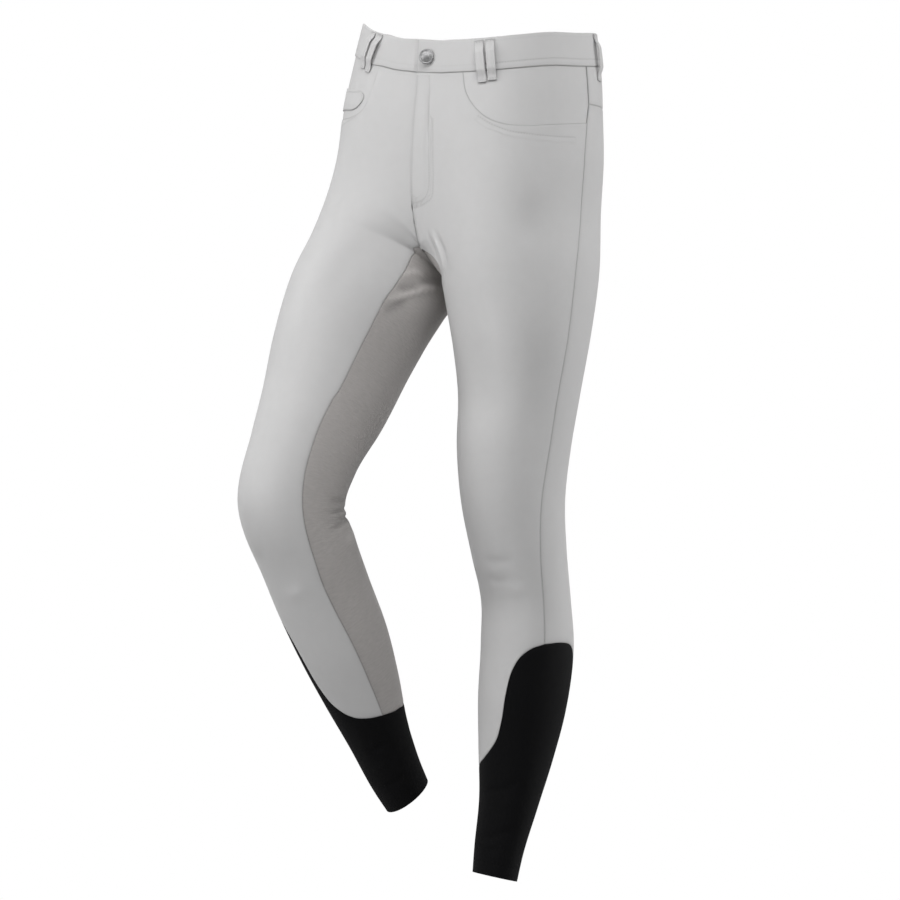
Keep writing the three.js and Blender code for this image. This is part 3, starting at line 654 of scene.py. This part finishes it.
band_back = straight(BAND_HEIGHT, SIDE_SEAM[0][1], BAND_HEIGHT, 180, COLS_BACK)
side_yoke = curve(part(SIDE_SEAM, BAND_HEIGHT, YOKE_SIDE), ROWS_YOKE)
side_gap = straight(YOKE_SIDE, SIDE_SEAM[1][1], POCKET_END, SIDE_SEAM[2][1], ROWS_FACING - ROWS_YOKE)
side_leg = curve(part(SIDE_SEAM, POCKET_END, HEM), ROWS_SIDE)
centre_front = straight(BAND_HEIGHT, -180, FRONT_TIP, -180, ROWS_CENTRE)
centre_tip = straight(FRONT_TIP, -180, CROTCH, -180, ROWS_TIP)
centre_yoke = straight(BAND_HEIGHT, 180, YOKE_BACK, 180, ROWS_YOKE)
centre_back = straight(YOKE_BACK, 180, SEAT_TOP, 180, ROWS_FACING - ROWS_YOKE)
centre_seat = straight(SEAT_TOP, 180, CROTCH, 180, ROWS_SEAT)
back_seat = curve(part(BACK_SEAM, SEAT_TOP, CROTCH), ROWS_SEAT)
back_leg = curve(part(BACK_SEAM, CROTCH, HEM), ROWS_LEG)
yoke_seam = straight(YOKE_SIDE, SIDE_SEAM[1][1], YOKE_BACK, 180, COLS_BACK)
cuff_front = curve(CUFF_FRONT, COLS_FRONT + COLS_POCKET)
cuff_back = curve(CUFF_BACK, COLS_BACK)
cuff_inner = curve(CUFF_INNER, COLS_SEAT + COLS_TIP)
crotch_back = straight(CROTCH, back_leg[0][1], CROTCH, 180, COLS_SEAT)

# Stitched lines
HEM_STITCH = 14.0
FLY_INNER = [(42, -146), (92, -142), (150, -139), (192, -137), (203, -143), (208, -158), (210, -179)]
FLY_OUTER = [(100, -132), (150, -130), (189, -128), (203, -130), (211, -146), (214, -163), (215, -179)]
CENTRE_EDGE = [(42, -177.5), (120, -177.3), (204, -176.5)]
LEFT_SCOOP_LINE = [(100, -69.5), (114, -59.5), (123, -50), (129, -36), (132, -20), (132, -4)]
RIGHT_SCOOP_LINE = [(110, -79), (119, -68), (126, -52), (128, -30), (128, 0)]
FLY_TACK = [(206, -179), (216, -178.6)]


def fly_lift(g, p, gaps):
    on = 1 - ease(g[..., 0], *FLY_FOOT)
    hollow = np.exp(-(((gaps["l"] - 16) / 6) ** 2)) * ease(g[..., 0], 42, 62) * (1 - ease(g[..., 0], 96, 200))
    return 0.8 * on * (1 - ease(gaps["l"], 4, 44)) - 1.0 * hollow


def under_lift(g, p, gaps):
    on = 1 - ease(g[..., 0], *FLY_FOOT)
    return -0.4 * on * (1 - ease(gaps["l"], 0, 12))


made = {}
band_turns = {}
for side, word in ((1, "left"), (-1, "right")):
    is_left = side > 0
    front_rows = LEFT_FRONT_SEAM if is_left else RIGHT_FRONT_SEAM
    scoop_rows = LEFT_SCOOP if is_left else RIGHT_SCOOP
    scoop = curve(scoop_rows, COLS_POCKET)
    front_tip = curve(part(front_rows, FRONT_TIP, CROTCH), ROWS_TIP)
    front_leg = curve(part(front_rows, CROTCH, HEM), ROWS_LEG)
    crotch_front = straight(CROTCH, 180, CROTCH, front_leg[0][1] + 360, COLS_TIP)
    turned_leg = front_leg + (0, 360)
    band_front = straight(BAND_HEIGHT, -180, BAND_HEIGHT, scoop_rows[0][1], COLS_FRONT)
    band_pocket = straight(BAND_HEIGHT, scoop_rows[0][1], BAND_HEIGHT, SIDE_SEAM[0][1], COLS_POCKET)
    turns = np.concatenate([band_front[::2, 1], band_pocket[2::2, 1], band_back[2::2, 1]])
    band_turns[side] = turns
    start_v, start_psi = scoop_rows[0]
    bend = ((start_v + DIVIDE[0][0]) / 2, start_psi - DIVIDE_TURN)
    divide = curve([(start_v, start_psi), bend, *DIVIDE, tuple(cuff_front[COLS_FRONT])], ROWS_SIDE)
    inner = patch(band_front, cuff_front[: COLS_FRONT + 1], join(centre_front, front_tip, front_leg), divide)
    outer = patch(scoop, cuff_front[COLS_FRONT:], divide, side_leg)
    made["front_" + word] = panel(
        "front_" + word,
        side,
        [inner, outer],
        ["tbl", "tbr"],
        [FLY_INNER, FLY_OUTER, CENTRE_EDGE, FLY_TACK, LEFT_SCOOP_LINE] if is_left else [RIGHT_SCOOP_LINE],
        lift=fly_lift if is_left else under_lift,
        edge=RAISED_EDGE if is_left else 0.0,
    )
    facing = patch(band_pocket, scoop, still(scoop[0], ROWS_FACING), join(side_yoke, side_gap))
    made["pocket_facing_" + word] = panel("pocket_facing_" + word, side, [facing], ["r"], proud=-FACING_DEPTH)
    yoke = patch(band_back, yoke_seam, side_yoke, centre_yoke)
    made["yoke_" + word] = panel("yoke_" + word, side, [yoke], ["tblr"])
    back = patch(yoke_seam, cuff_back, join(side_gap, side_leg), join(centre_back, back_seat, back_leg))
    made["back_" + word] = panel("back_" + word, side, [back], ["tblr"])
    seat_back = patch(still(back_seat[0], COLS_SEAT), crotch_back, back_seat, centre_seat)
    tip_foot = straight(CROTCH, -180, CROTCH, front_leg[0][1], COLS_TIP)
    seat_tip = patch(still(front_tip[0], COLS_TIP), tip_foot, centre_tip, front_tip)
    seat_leg = patch(join(crotch_back, crotch_front), cuff_inner, back_leg, turned_leg)
    made["seat_" + word] = panel(
        "seat_" + word, side, [seat_back, seat_tip, seat_leg], ["lr", "lr", "blr"], wraps=(1,)
    )
    cuff_top = join(cuff_front, cuff_back, cuff_inner)
    turn = cuff_top[0][1] + 360 * np.linspace(0, 1, len(cuff_top))
    hem = np.stack([np.full(len(cuff_top), float(HEM)), turn], -1)
    cuff_side = straight(cuff_top[0][0], cuff_top[0][1], HEM, cuff_top[0][1], ROWS_CUFF)
    cuff = patch(cuff_top, hem, cuff_side, cuff_side + (0, 360))
    made["cuff_" + word] = panel("cuff_" + word, side, [cuff], ["t"], [("b", HEM_STITCH, 0)])

# Waistband: each half a strip with rounded edges, the left end lapping over the right
EDGE = 1.1
TOP_STITCH = 4.5
LOWER_STITCH = 8.5
TOP_FAINT = 0.35
# The stitches show plainly only from the front loops round the wearer's left
FAINT = 0.3
LOOPS_TURN = -68


def strip(name, columns, rim_rows=9, thick=BAND_WALL):
    """Closed strip through columns of (side, v top, v bottom, psi, drop)."""
    ring = [(0.0, 0.5)]
    for k in range(1, 5):
        turn = math.pi * k / 8
        ring.append((EDGE * (1 - math.cos(turn)), 0.5 + 0.5 * math.sin(turn)))
    face = [(EDGE + (BAND_HEIGHT - 2 * EDGE) * k / rim_rows, 1.0) for k in range(1, rim_rows)]
    other = [(BAND_HEIGHT - a, b) for a, b in reversed(ring)]
    outer = ring + face + other
    inner = [(a, 1 - b) for a, b in reversed(outer)]
    loop = np.array(outer + inner[1:-1] + outer[:1])
    sides, psis, drops, slim = (np.array([c[k] for c in columns], float) for k in range(4))
    rows = []
    for a, b in loop:
        line = []
        for side_, psi, drop, thin in zip(sides, psis, drops, slim):
            sd = 1 if side_ > 0 else -1
            mid = 0.5 + (b - 0.5) * thin
            v = BAND_HEIGHT / 2 + (a - BAND_HEIGHT / 2) * (0.985 if thin < 1 else 1.0)
            p = base(sd, v, psi)
            n = outward(sd, v, psi)
            line.append(p + n * (BAND_PROUD - drop - thick * (1 - mid)))
        rows.append(line)
    return np.array(rows), loop


def band_mesh(name, word_side, columns):
    grid, loop = strip(name, columns)
    n_rows, n_cols = grid.shape[:2]
    across = np.concatenate([[0], np.cumsum(np.linalg.norm(np.diff(grid[4], axis=0), axis=1))])
    uv = np.stack(np.broadcast_arrays(across[None, :], -loop[:, :1]), -1)
    v = np.broadcast_to(loop[:, :1], (n_rows, n_cols))
    upper = v < BAND_HEIGHT / 2
    line = np.where(upper, v - TOP_STITCH, v - (BAND_HEIGHT - LOWER_STITCH))
    quiet = np.array([FAINT if c[0] < 0 or c[1] < LOOPS_TURN else 1.0 for c in columns])
    strength = np.where(upper, TOP_FAINT, 1.0) * quiet
    extra = {
        "seam": [np.broadcast_to(np.minimum(BAND_HEIGHT - v, FAR), (n_rows, n_cols)) * 1.0],
        "line": [line * 1.0],
        "mask": [strength * (np.abs(line) < STITCH_REACH)],
        "run": [np.broadcast_to(across[None, :], (n_rows, n_cols)) * 1.0],
    }
    ids = np.arange(n_rows * n_cols).reshape(n_rows, n_cols)
    first, last = ids[:-1, 0].tolist(), ids[:-1, -1].tolist()
    ends = (first[::-1], last) if word_side < 0 else (first, last[::-1])
    return make_mesh(name, [grid], [uv], extra, word_side < 0, ends)


turns = band_turns[1]
left_columns = [(1, t, 0, 1) for t in turns]
left_columns[0] = (1, turns[0], 0, 0.55)
left_columns.insert(1, (1, turns[0] + 0.9, 0, 0.85))
made["waistband_left"] = band_mesh("waistband_left", 1, left_columns)
under = [(1, p, 2.6, 1) for p in np.linspace(-137, -172, 9)]
lap = [(-1, -178.5, 2.2, 1), (-1, -174, 0.6, 1)]
right_columns = under + lap + [(-1, t, 0, 1) for t in band_turns[-1] if t > -172]
made["waistband_right"] = band_mesh("waistband_right", -1, right_columns)

# Belt loops, each from its top to its end
LOOP_WIDTH = 10.4
LOOP_WALL = 1.4
LOOP_STAND = 3.6
LOOP_TAIL = 3
TACK_TOP = 1.8
TACK_END = 2.4
LOOPS = [
    ("loop_front_left_a", 1, (3.5, -66.8), (55, -65.4)),
    ("loop_front_left_b", 1, (3, -59.6), (53, -59)),
    ("loop_front_right_a", -1, (2, -81.6), (50, -76.5)),
    ("loop_front_right_b", -1, (2, -73.9), (48, -70)),
    ("loop_side_left", 1, (2, 26), (58, 26)),
    ("loop_side_right", -1, (2, 26), (58, 26)),
    ("loop_back", 1, (2, 180), (58, 180)),
]


def belt_loop(name, side, top, end):
    steps = 48
    half, edge = LOOP_WIDTH / 2, 0.5
    rim = [(0, 0.35), (0.15, 0.8), (edge, 1.0), (2.0, 1.0), (2.3, 0.92), (2.6, 1.0)]
    face = [(a - half, b) for a, b in rim] + [(0, 1.04)] + [(half - a, b) for a, b in reversed(rim)]
    under = [(half - edge, 0.0), (0, 0.0), (edge - half, 0.0)]
    profile = np.array(face + under + face[:1])
    slant = (end[1] - top[1]) / (end[0] - top[0])
    rows = []
    for k in range(steps + 1):
        t = k / steps
        v = top[0] + (end[0] - top[0]) * t
        psi = top[1] + (end[1] - top[1]) * t
        out = outward(side, v, psi)
        down = unit(base(side, v + 0.5, psi + 0.5 * slant) - base(side, v - 0.5, psi - 0.5 * slant))
        across = unit(np.cross(down, out))
        slack = float(ease(t, 0.06, 0.3) - ease(t, 0.66, 0.9))
        on_band = 1 - float(ease(v, BAND_HEIGHT, end[0] - LOOP_TAIL))
        level = 0.3 + BAND_PROUD * on_band + LOOP_STAND * slack
        thin = 1 - 0.35 * (math.exp(-((t - 0.03) / 0.025) ** 2) + math.exp(-((t - 0.95) / 0.03) ** 2))
        middle = base(side, v, psi)
        rows.append([middle + across * a + out * (level + LOOP_WALL * thin * b) for a, b in profile])
    grid = np.array(rows)
    size = grid.shape[:2]
    along = np.linspace(0, end[0] - top[0], steps + 1)
    uv = np.stack(np.broadcast_arrays(profile[None, :, 0], -along[:, None]), -1)
    first, last = along - TACK_TOP, along - along[-1] + TACK_END
    tack = np.minimum(np.abs(first), np.abs(last)) * np.sign(first) * np.sign(last)
    extra = {
        "seam": [np.broadcast_to(np.minimum(along, along[-1] - along)[:, None], size) * 1.0 + 0.6],
        "line": [np.broadcast_to(tack[:, None], size) * 1.0],
        "mask": [np.ones(size)],
        "run": [np.broadcast_to(profile[None, :, 0], size) * 1.0],
    }
    ids = np.arange(size[0] * size[1]).reshape(size)
    return make_mesh(name, [grid], [uv], extra, False, (ids[0, :-1].tolist()[::-1], ids[-1, :-1].tolist()))


for name, side, top, end in LOOPS:
    made[name] = belt_loop(name, side, top, end)

# Small pocket on the right facing
COIN_WALL = 0.9
COIN_GAP = 0.5
coin = patch(
    curve(COIN_TOP, 42), curve(COIN_BOTTOM, 42), curve(COIN_SIDE, 27),
    straight(*COIN_TOP[-1], *COIN_BOTTOM[-1], 27),
)
made["coin_pocket"] = panel(
    "coin_pocket",
    -1,
    [coin],
    ["b"],
    [("t", 5.0, 0), ("l", 2.2, 0)],
    proud=COIN_WALL + COIN_GAP - FACING_DEPTH,
    wall=COIN_WALL,
    dip=0.2,
)


def spin(profile, steps=48):
    turn = np.linspace(0, 2 * np.pi, steps + 1)
    r, h = np.array(profile, float).T
    height = np.broadcast_to(h[:, None], (len(r), steps + 1))
    return np.stack([r[:, None] * np.cos(turn), r[:, None] * np.sin(turn), height], -1)


# Domed shank button, turned a little towards the wearer's left
BUTTON_V = 21
BUTTON_PSI = -148.5
BUTTON_RADIUS = 8.8
BUTTON_STAND = 4.2
BUTTON_TURN = 24


def button():
    side, v, psi = 1, BUTTON_V, BUTTON_PSI
    r = BUTTON_RADIUS
    profile = [(0, -2.2), (2.2, -2.2), (2.4, -1.9), (2.4, 0), (r - 0.8, 0), (r - 0.2, 0.3), (r, 0.9),
               (r - 0.1, 1.6),
               (r - 0.6, 2.15), (r - 1.2, 2.25), (r - 1.7, 2.05), (r - 2.0, 2.0), (r - 2.4, 2.3), (5.8, 2.75),
               (5.0, 3.05), (4.4, 3.0), (4.0, 3.25), (3.0, 3.55), (1.5, 3.74), (0, 3.8)]
    grid = spin(profile)
    out = outward(side, v, psi)
    seat = base(side, v, psi) + out * BUTTON_STAND
    turn = math.radians(BUTTON_TURN)
    c, s = math.cos(turn), math.sin(turn)
    axis = np.array([out[0] * c - out[1] * s, out[0] * s + out[1] * c, out[2]])
    x = unit(np.cross((0, 0, 1), axis))
    y = np.cross(axis, x)
    world = seat + grid[..., :1] * x + grid[..., 1:2] * y + grid[..., 2:] * axis
    uv = grid[..., :2]
    extra = {"seam": [np.full(world.shape[:2], FAR)]}
    return make_mesh("button", [world], [uv], extra, True)


made["button"] = button()


# Materials
class Graph:
    def __init__(self, name):
        self.mat = bpy.data.materials.new(name)
        self.mat.use_nodes = True
        self.tree = self.mat.node_tree
        self.shader = next(n for n in self.tree.nodes if n.type == "BSDF_PRINCIPLED")

    def node(self, kind, **settings):
        n = self.tree.nodes.new(kind)
        for key, value in settings.items():
            setattr(n, key, value)
        return n

    def link(self, a, b):
        self.tree.links.new(a, b)

    def math(self, how, a, b=None, c=None, clamp=False):
        n = self.node("ShaderNodeMath", operation=how, use_clamp=clamp)
        for socket, value in zip(n.inputs, (a, b, c)):
            if value is None:
                continue
            if isinstance(value, (int, float)):
                socket.default_value = value
            else:
                self.link(value, socket)
        return n.outputs[0]

    def attribute(self, name):
        return self.node("ShaderNodeAttribute", attribute_name=name).outputs["Fac"]

    def bell(self, distance, width):
        share = self.math("DIVIDE", distance, width)
        return self.math("EXPONENT", self.math("MULTIPLY", self.math("MULTIPLY", share, share), -1.0))

    def noise(self, vector, scale, detail=3.0, rough=0.5):
        n = self.node("ShaderNodeTexNoise")
        n.inputs["Scale"].default_value = scale
        n.inputs["Detail"].default_value = detail
        n.inputs["Roughness"].default_value = rough
        if vector is not None:
            self.link(vector, n.inputs["Vector"])
        return n.outputs["Fac"]

    def scaled(self, vector, size, turn=0.0):
        n = self.node("ShaderNodeMapping")
        n.inputs["Scale"].default_value = size
        n.inputs["Rotation"].default_value = (0, 0, turn)
        self.link(vector, n.inputs["Vector"])
        return n.outputs["Vector"]

    def set(self, **values):
        for key, value in values.items():
            self.shader.inputs[key.replace("_", " ")].default_value = value


# Length of one stitch and its gap
STITCH = 3.2


def tone(colour, share):
    return tuple(c * share for c in colour) + (1.0,)


def cloth_look(
    name, colour, rough, sheen, rib, rib_turn, rib_depth,
    streaks=0.0, mottle=0.05, painted_seam_shade=0.25, gloss=0.22, painted_fold_shade=0.05,
):
    g = Graph(name)
    uv = g.node("ShaderNodeUVMap", uv_map="cloth").outputs["UV"]
    place = g.node("ShaderNodeTexCoord").outputs["Object"]
    seam = g.bell(g.attribute("seam"), 1.0)
    wide_seam_shade = g.bell(g.attribute("seam"), 5.0)
    held = g.attribute("mask")
    line = g.math("MULTIPLY", g.bell(g.attribute("line"), 0.75), held)
    soft = g.math("MULTIPLY", g.bell(g.attribute("line"), 2.6), held)
    beat = g.math("SINE", g.math("MULTIPLY", g.attribute("run"), 2 * math.pi / STITCH))
    thread = g.math("MULTIPLY", g.bell(g.attribute("line"), 0.42), held)
    dash = g.math("MULTIPLY", g.math("GREATER_THAN", beat, -0.55), thread)
    wave = g.node("ShaderNodeTexWave", wave_type="BANDS", bands_direction="X", wave_profile="SIN")
    wave.inputs["Scale"].default_value = 0.314 / rib
    wave.inputs["Distortion"].default_value = 0.6
    wave.inputs["Detail"].default_value = 1.0
    wave.inputs["Detail Scale"].default_value = 3.0
    g.link(g.scaled(uv, (1, 1, 1), rib_turn), wave.inputs["Vector"])
    ribs = wave.outputs["Fac"]
    yarn = g.noise(g.scaled(uv, (1.6, 0.5, 1)), 1.0, 2.0)
    large = g.noise(place, 7.0, 3.0)
    small = g.noise(place, 90.0, 2.0)
    shade = g.math("ADD", g.math("MULTIPLY", g.math("SUBTRACT", large, 0.5), mottle * 2), 1.0)
    shade = g.math("ADD", shade, g.math("MULTIPLY", g.math("SUBTRACT", small, 0.5), mottle * 0.8))
    shade = g.math("ADD", shade, g.math("MULTIPLY", g.math("SUBTRACT", ribs, 0.5), 0.05))
    shade = g.math("ADD", shade, g.math("MULTIPLY", g.math("SUBTRACT", yarn, 0.5), 0.05))
    # Painted shade in the seam grooves: the colour darkens along each seam edge, and a little more within
    # about 5 mm of it
    shade = g.math("SUBTRACT", shade, g.math("MULTIPLY", seam, painted_seam_shade))
    shade = g.math("SUBTRACT", shade, g.math("MULTIPLY", wide_seam_shade, 0.04))
    # Painted shade in the stitch grooves: the colour darkens along each stitched line
    shade = g.math("SUBTRACT", shade, g.math("MULTIPLY", line, 0.22))
    shade = g.math("ADD", shade, g.math("MULTIPLY", dash, 0.24))
    # Painted shade and highlight of the folds: the colour darkens in fold troughs and lightens on ridges, by
    # the relief height
    fold = g.math("MULTIPLY", g.attribute("fold"), painted_fold_shade)
    shade = g.math("ADD", shade, g.math("MINIMUM", g.math("MAXIMUM", fold, -0.2), 0.2))
    height = g.math("MULTIPLY", ribs, rib_depth)
    height = g.math("ADD", height, g.math("MULTIPLY", yarn, rib_depth * 0.7))
    height = g.math("SUBTRACT", height, g.math("MULTIPLY", line, 0.24))
    height = g.math("SUBTRACT", height, g.math("MULTIPLY", soft, 0.16))
    height = g.math("ADD", height, g.math("MULTIPLY", dash, 0.20))
    if streaks:
        long = g.noise(g.scaled(uv, (0.11, 0.55, 1), math.radians(-24)), 1.0, 2.5, 0.6)
        cut = g.math("MULTIPLY", g.math("SUBTRACT", long, 0.5), 2.0)
        shade = g.math("ADD", shade, g.math("MULTIPLY", cut, streaks))
        height = g.math("ADD", height, g.math("MULTIPLY", cut, 0.25))
    mix = g.node("ShaderNodeMix", data_type="RGBA", blend_type="MIX")
    mix.inputs["A"].default_value = (0, 0, 0, 1)
    mix.inputs["B"].default_value = tone(colour, 1.25)
    g.link(g.math("DIVIDE", shade, 1.25, clamp=True), mix.inputs["Factor"])
    g.link(mix.outputs["Result"], g.shader.inputs["Base Color"])
    bump = g.node("ShaderNodeBump")
    bump.inputs["Strength"].default_value = 1.0
    bump.inputs["Distance"].default_value = 0.001
    g.link(height, bump.inputs["Height"])
    g.link(bump.outputs["Normal"], g.shader.inputs["Normal"])
    g.set(Roughness=rough, Metallic=0.0, Sheen_Weight=sheen, Sheen_Roughness=0.45)
    g.set(Specular_IOR_Level=gloss)
    return g.mat


main_cloth = cloth_look("main_cloth", (0.561, 0.558, 0.558), 0.82, 0.18, 0.55, math.radians(45), 0.05)
grip_cloth = cloth_look(
    "grip_cloth", (0.408, 0.390, 0.380), 0.9, 0.25, 0.5, math.radians(20), 0.04,
    streaks=0.16, mottle=0.08, painted_fold_shade=0.11,
)
cuff_cloth = cloth_look(
    "stretch_cloth", (0.0022, 0.0022, 0.0027), 0.8, 0.012, 0.9, 0.0, 0.12,
    mottle=0.1, painted_seam_shade=0.3, gloss=0.12,
)


def metal_look():
    g = Graph("button_metal")
    place = g.node("ShaderNodeTexCoord").outputs["Object"]
    worn = g.noise(place, 420.0, 3.0)
    mix = g.node("ShaderNodeMix", data_type="RGBA", blend_type="MIX")
    mix.inputs["A"].default_value = (0.16, 0.16, 0.162, 1)
    mix.inputs["B"].default_value = (0.5, 0.5, 0.505, 1)
    g.link(worn, mix.inputs["Factor"])
    g.link(mix.outputs["Result"], g.shader.inputs["Base Color"])
    bump = g.node("ShaderNodeBump")
    bump.inputs["Strength"].default_value = 0.5
    bump.inputs["Distance"].default_value = 0.0002
    g.link(worn, bump.inputs["Height"])
    g.link(bump.outputs["Normal"], g.shader.inputs["Normal"])
    g.set(Roughness=0.48, Metallic=0.9)
    return g.mat


button_metal = metal_look()

# Each piece takes its cloth look, hangs from the root body, and hides its part of model.glb
for name, ob in made.items():
    word = name.split("_")[0]
    mat = {"seat": grip_cloth, "cuff": cuff_cloth, "button": button_metal}.get(word, main_cloth)
    ob.data.materials.append(mat)
    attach(ob, "root")
    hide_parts(name)

# Camera at the photograph's angle
MM_PER_PIXEL = 1.17
PIXELS = 900
DISTANCE_MM = 4200
SENSOR_MM = 36
turn = math.radians(42)
right = Vector((math.cos(turn), math.sin(turn), 0))
back = Vector((math.sin(turn), -math.cos(turn), 0))
aim = (right * -31 + Vector((0, 0, -420))) * MM_PER_PIXEL / 1000
cam = bpy.data.objects.new("camera", bpy.data.cameras.new("camera"))
cam.data.sensor_width = SENSOR_MM
cam.data.lens = SENSOR_MM * (DISTANCE_MM / MM_PER_PIXEL) / PIXELS
cam.location = aim + back * (DISTANCE_MM / 1000)
cam.rotation_mode = "QUATERNION"
cam.rotation_quaternion = (-back).to_track_quat("-Z", "Y")
bpy.context.scene.collection.objects.link(cam)
bpy.context.scene.camera = cam


# Soft boxes, all alike, round the middle of the breeches
LIGHT_MIDDLE = Vector((0, -0.03, -0.45))
LIGHT_DISTANCE = 3.2
LIGHT_WIDTH = 1.6
LIGHT_HEIGHT = 1.8


def area_light(name, azimuth, elevation, power):
    a, e = math.radians(azimuth), math.radians(elevation)
    away = Vector((math.sin(a) * math.cos(e), -math.cos(a) * math.cos(e), math.sin(e)))
    data = bpy.data.lights.new(name, "AREA")
    data.shape = "RECTANGLE"
    data.size, data.size_y, data.energy = LIGHT_WIDTH, LIGHT_HEIGHT, power
    ob = bpy.data.objects.new(name, data)
    ob.location = LIGHT_MIDDLE + away * LIGHT_DISTANCE
    ob.rotation_mode = "QUATERNION"
    ob.rotation_quaternion = away.to_track_quat("Z", "Y")
    bpy.context.scene.collection.objects.link(ob)


AMBIENT = 0.07
area_light("top_front", 0, 45, 25)
area_light("top_middle", 30, 45, 21)
area_light("top_right", 60, 45, 34)
area_light("low_left", -30, 15, 37)
area_light("low_right", 60, 15, 5)
area_light("far_left", -90, 25, 26)
area_light("rim", 150, 15, 60)

# Soft surroundings: a pale backdrop that lights the cloth less than it shows
world = bpy.data.worlds.new("studio")
world.use_nodes = True
tree = world.node_tree
ground = tree.nodes["Background"]
ground.inputs["Color"].default_value = (1, 1, 1, 1)
ground.inputs["Strength"].default_value = AMBIENT
shown = tree.nodes.new("ShaderNodeBackground")
shown.inputs["Color"].default_value = (1, 1, 1, 1)
shown.inputs["Strength"].default_value = 1.0
path = tree.nodes.new("ShaderNodeLightPath")
blend = tree.nodes.new("ShaderNodeMixShader")
tree.links.new(path.outputs["Is Camera Ray"], blend.inputs[0])
tree.links.new(ground.outputs[0], blend.inputs[1])
tree.links.new(shown.outputs[0], blend.inputs[2])
tree.links.new(blend.outputs[0], tree.nodes["World Output"].inputs[0])
bpy.context.scene.world = world
bpy.context.scene.view_settings.view_transform = "Standard"

# Pale floor: it shows white and returns little light to the cloth
FLOOR_RADIUS = 12
FLOOR_Z = -1.04
floor_mesh = bpy.data.meshes.new("floor")
turns = np.linspace(0, 2 * math.pi, 96, endpoint=False)
rim = [(FLOOR_RADIUS * math.cos(a), FLOOR_RADIUS * math.sin(a), FLOOR_Z) for a in turns]
floor_mesh.from_pydata(rim, [], [list(range(96))])
floor = bpy.data.objects.new("floor", floor_mesh)
bpy.context.collection.objects.link(floor)
g = Graph("floor")
g.set(Base_Color=(0.5, 0.5, 0.5, 1), Roughness=0.9)
pale = g.node("ShaderNodeEmission")
seen = g.node("ShaderNodeLightPath")
cover = g.node("ShaderNodeMixShader")
g.link(seen.outputs["Is Camera Ray"], cover.inputs[0])
g.link(g.shader.outputs[0], cover.inputs[1])
g.link(pale.outputs[0], cover.inputs[2])
g.link(cover.outputs[0], g.tree.nodes["Material Output"].inputs[0])
floor.data.materials.append(g.mat)
floor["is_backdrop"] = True

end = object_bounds()
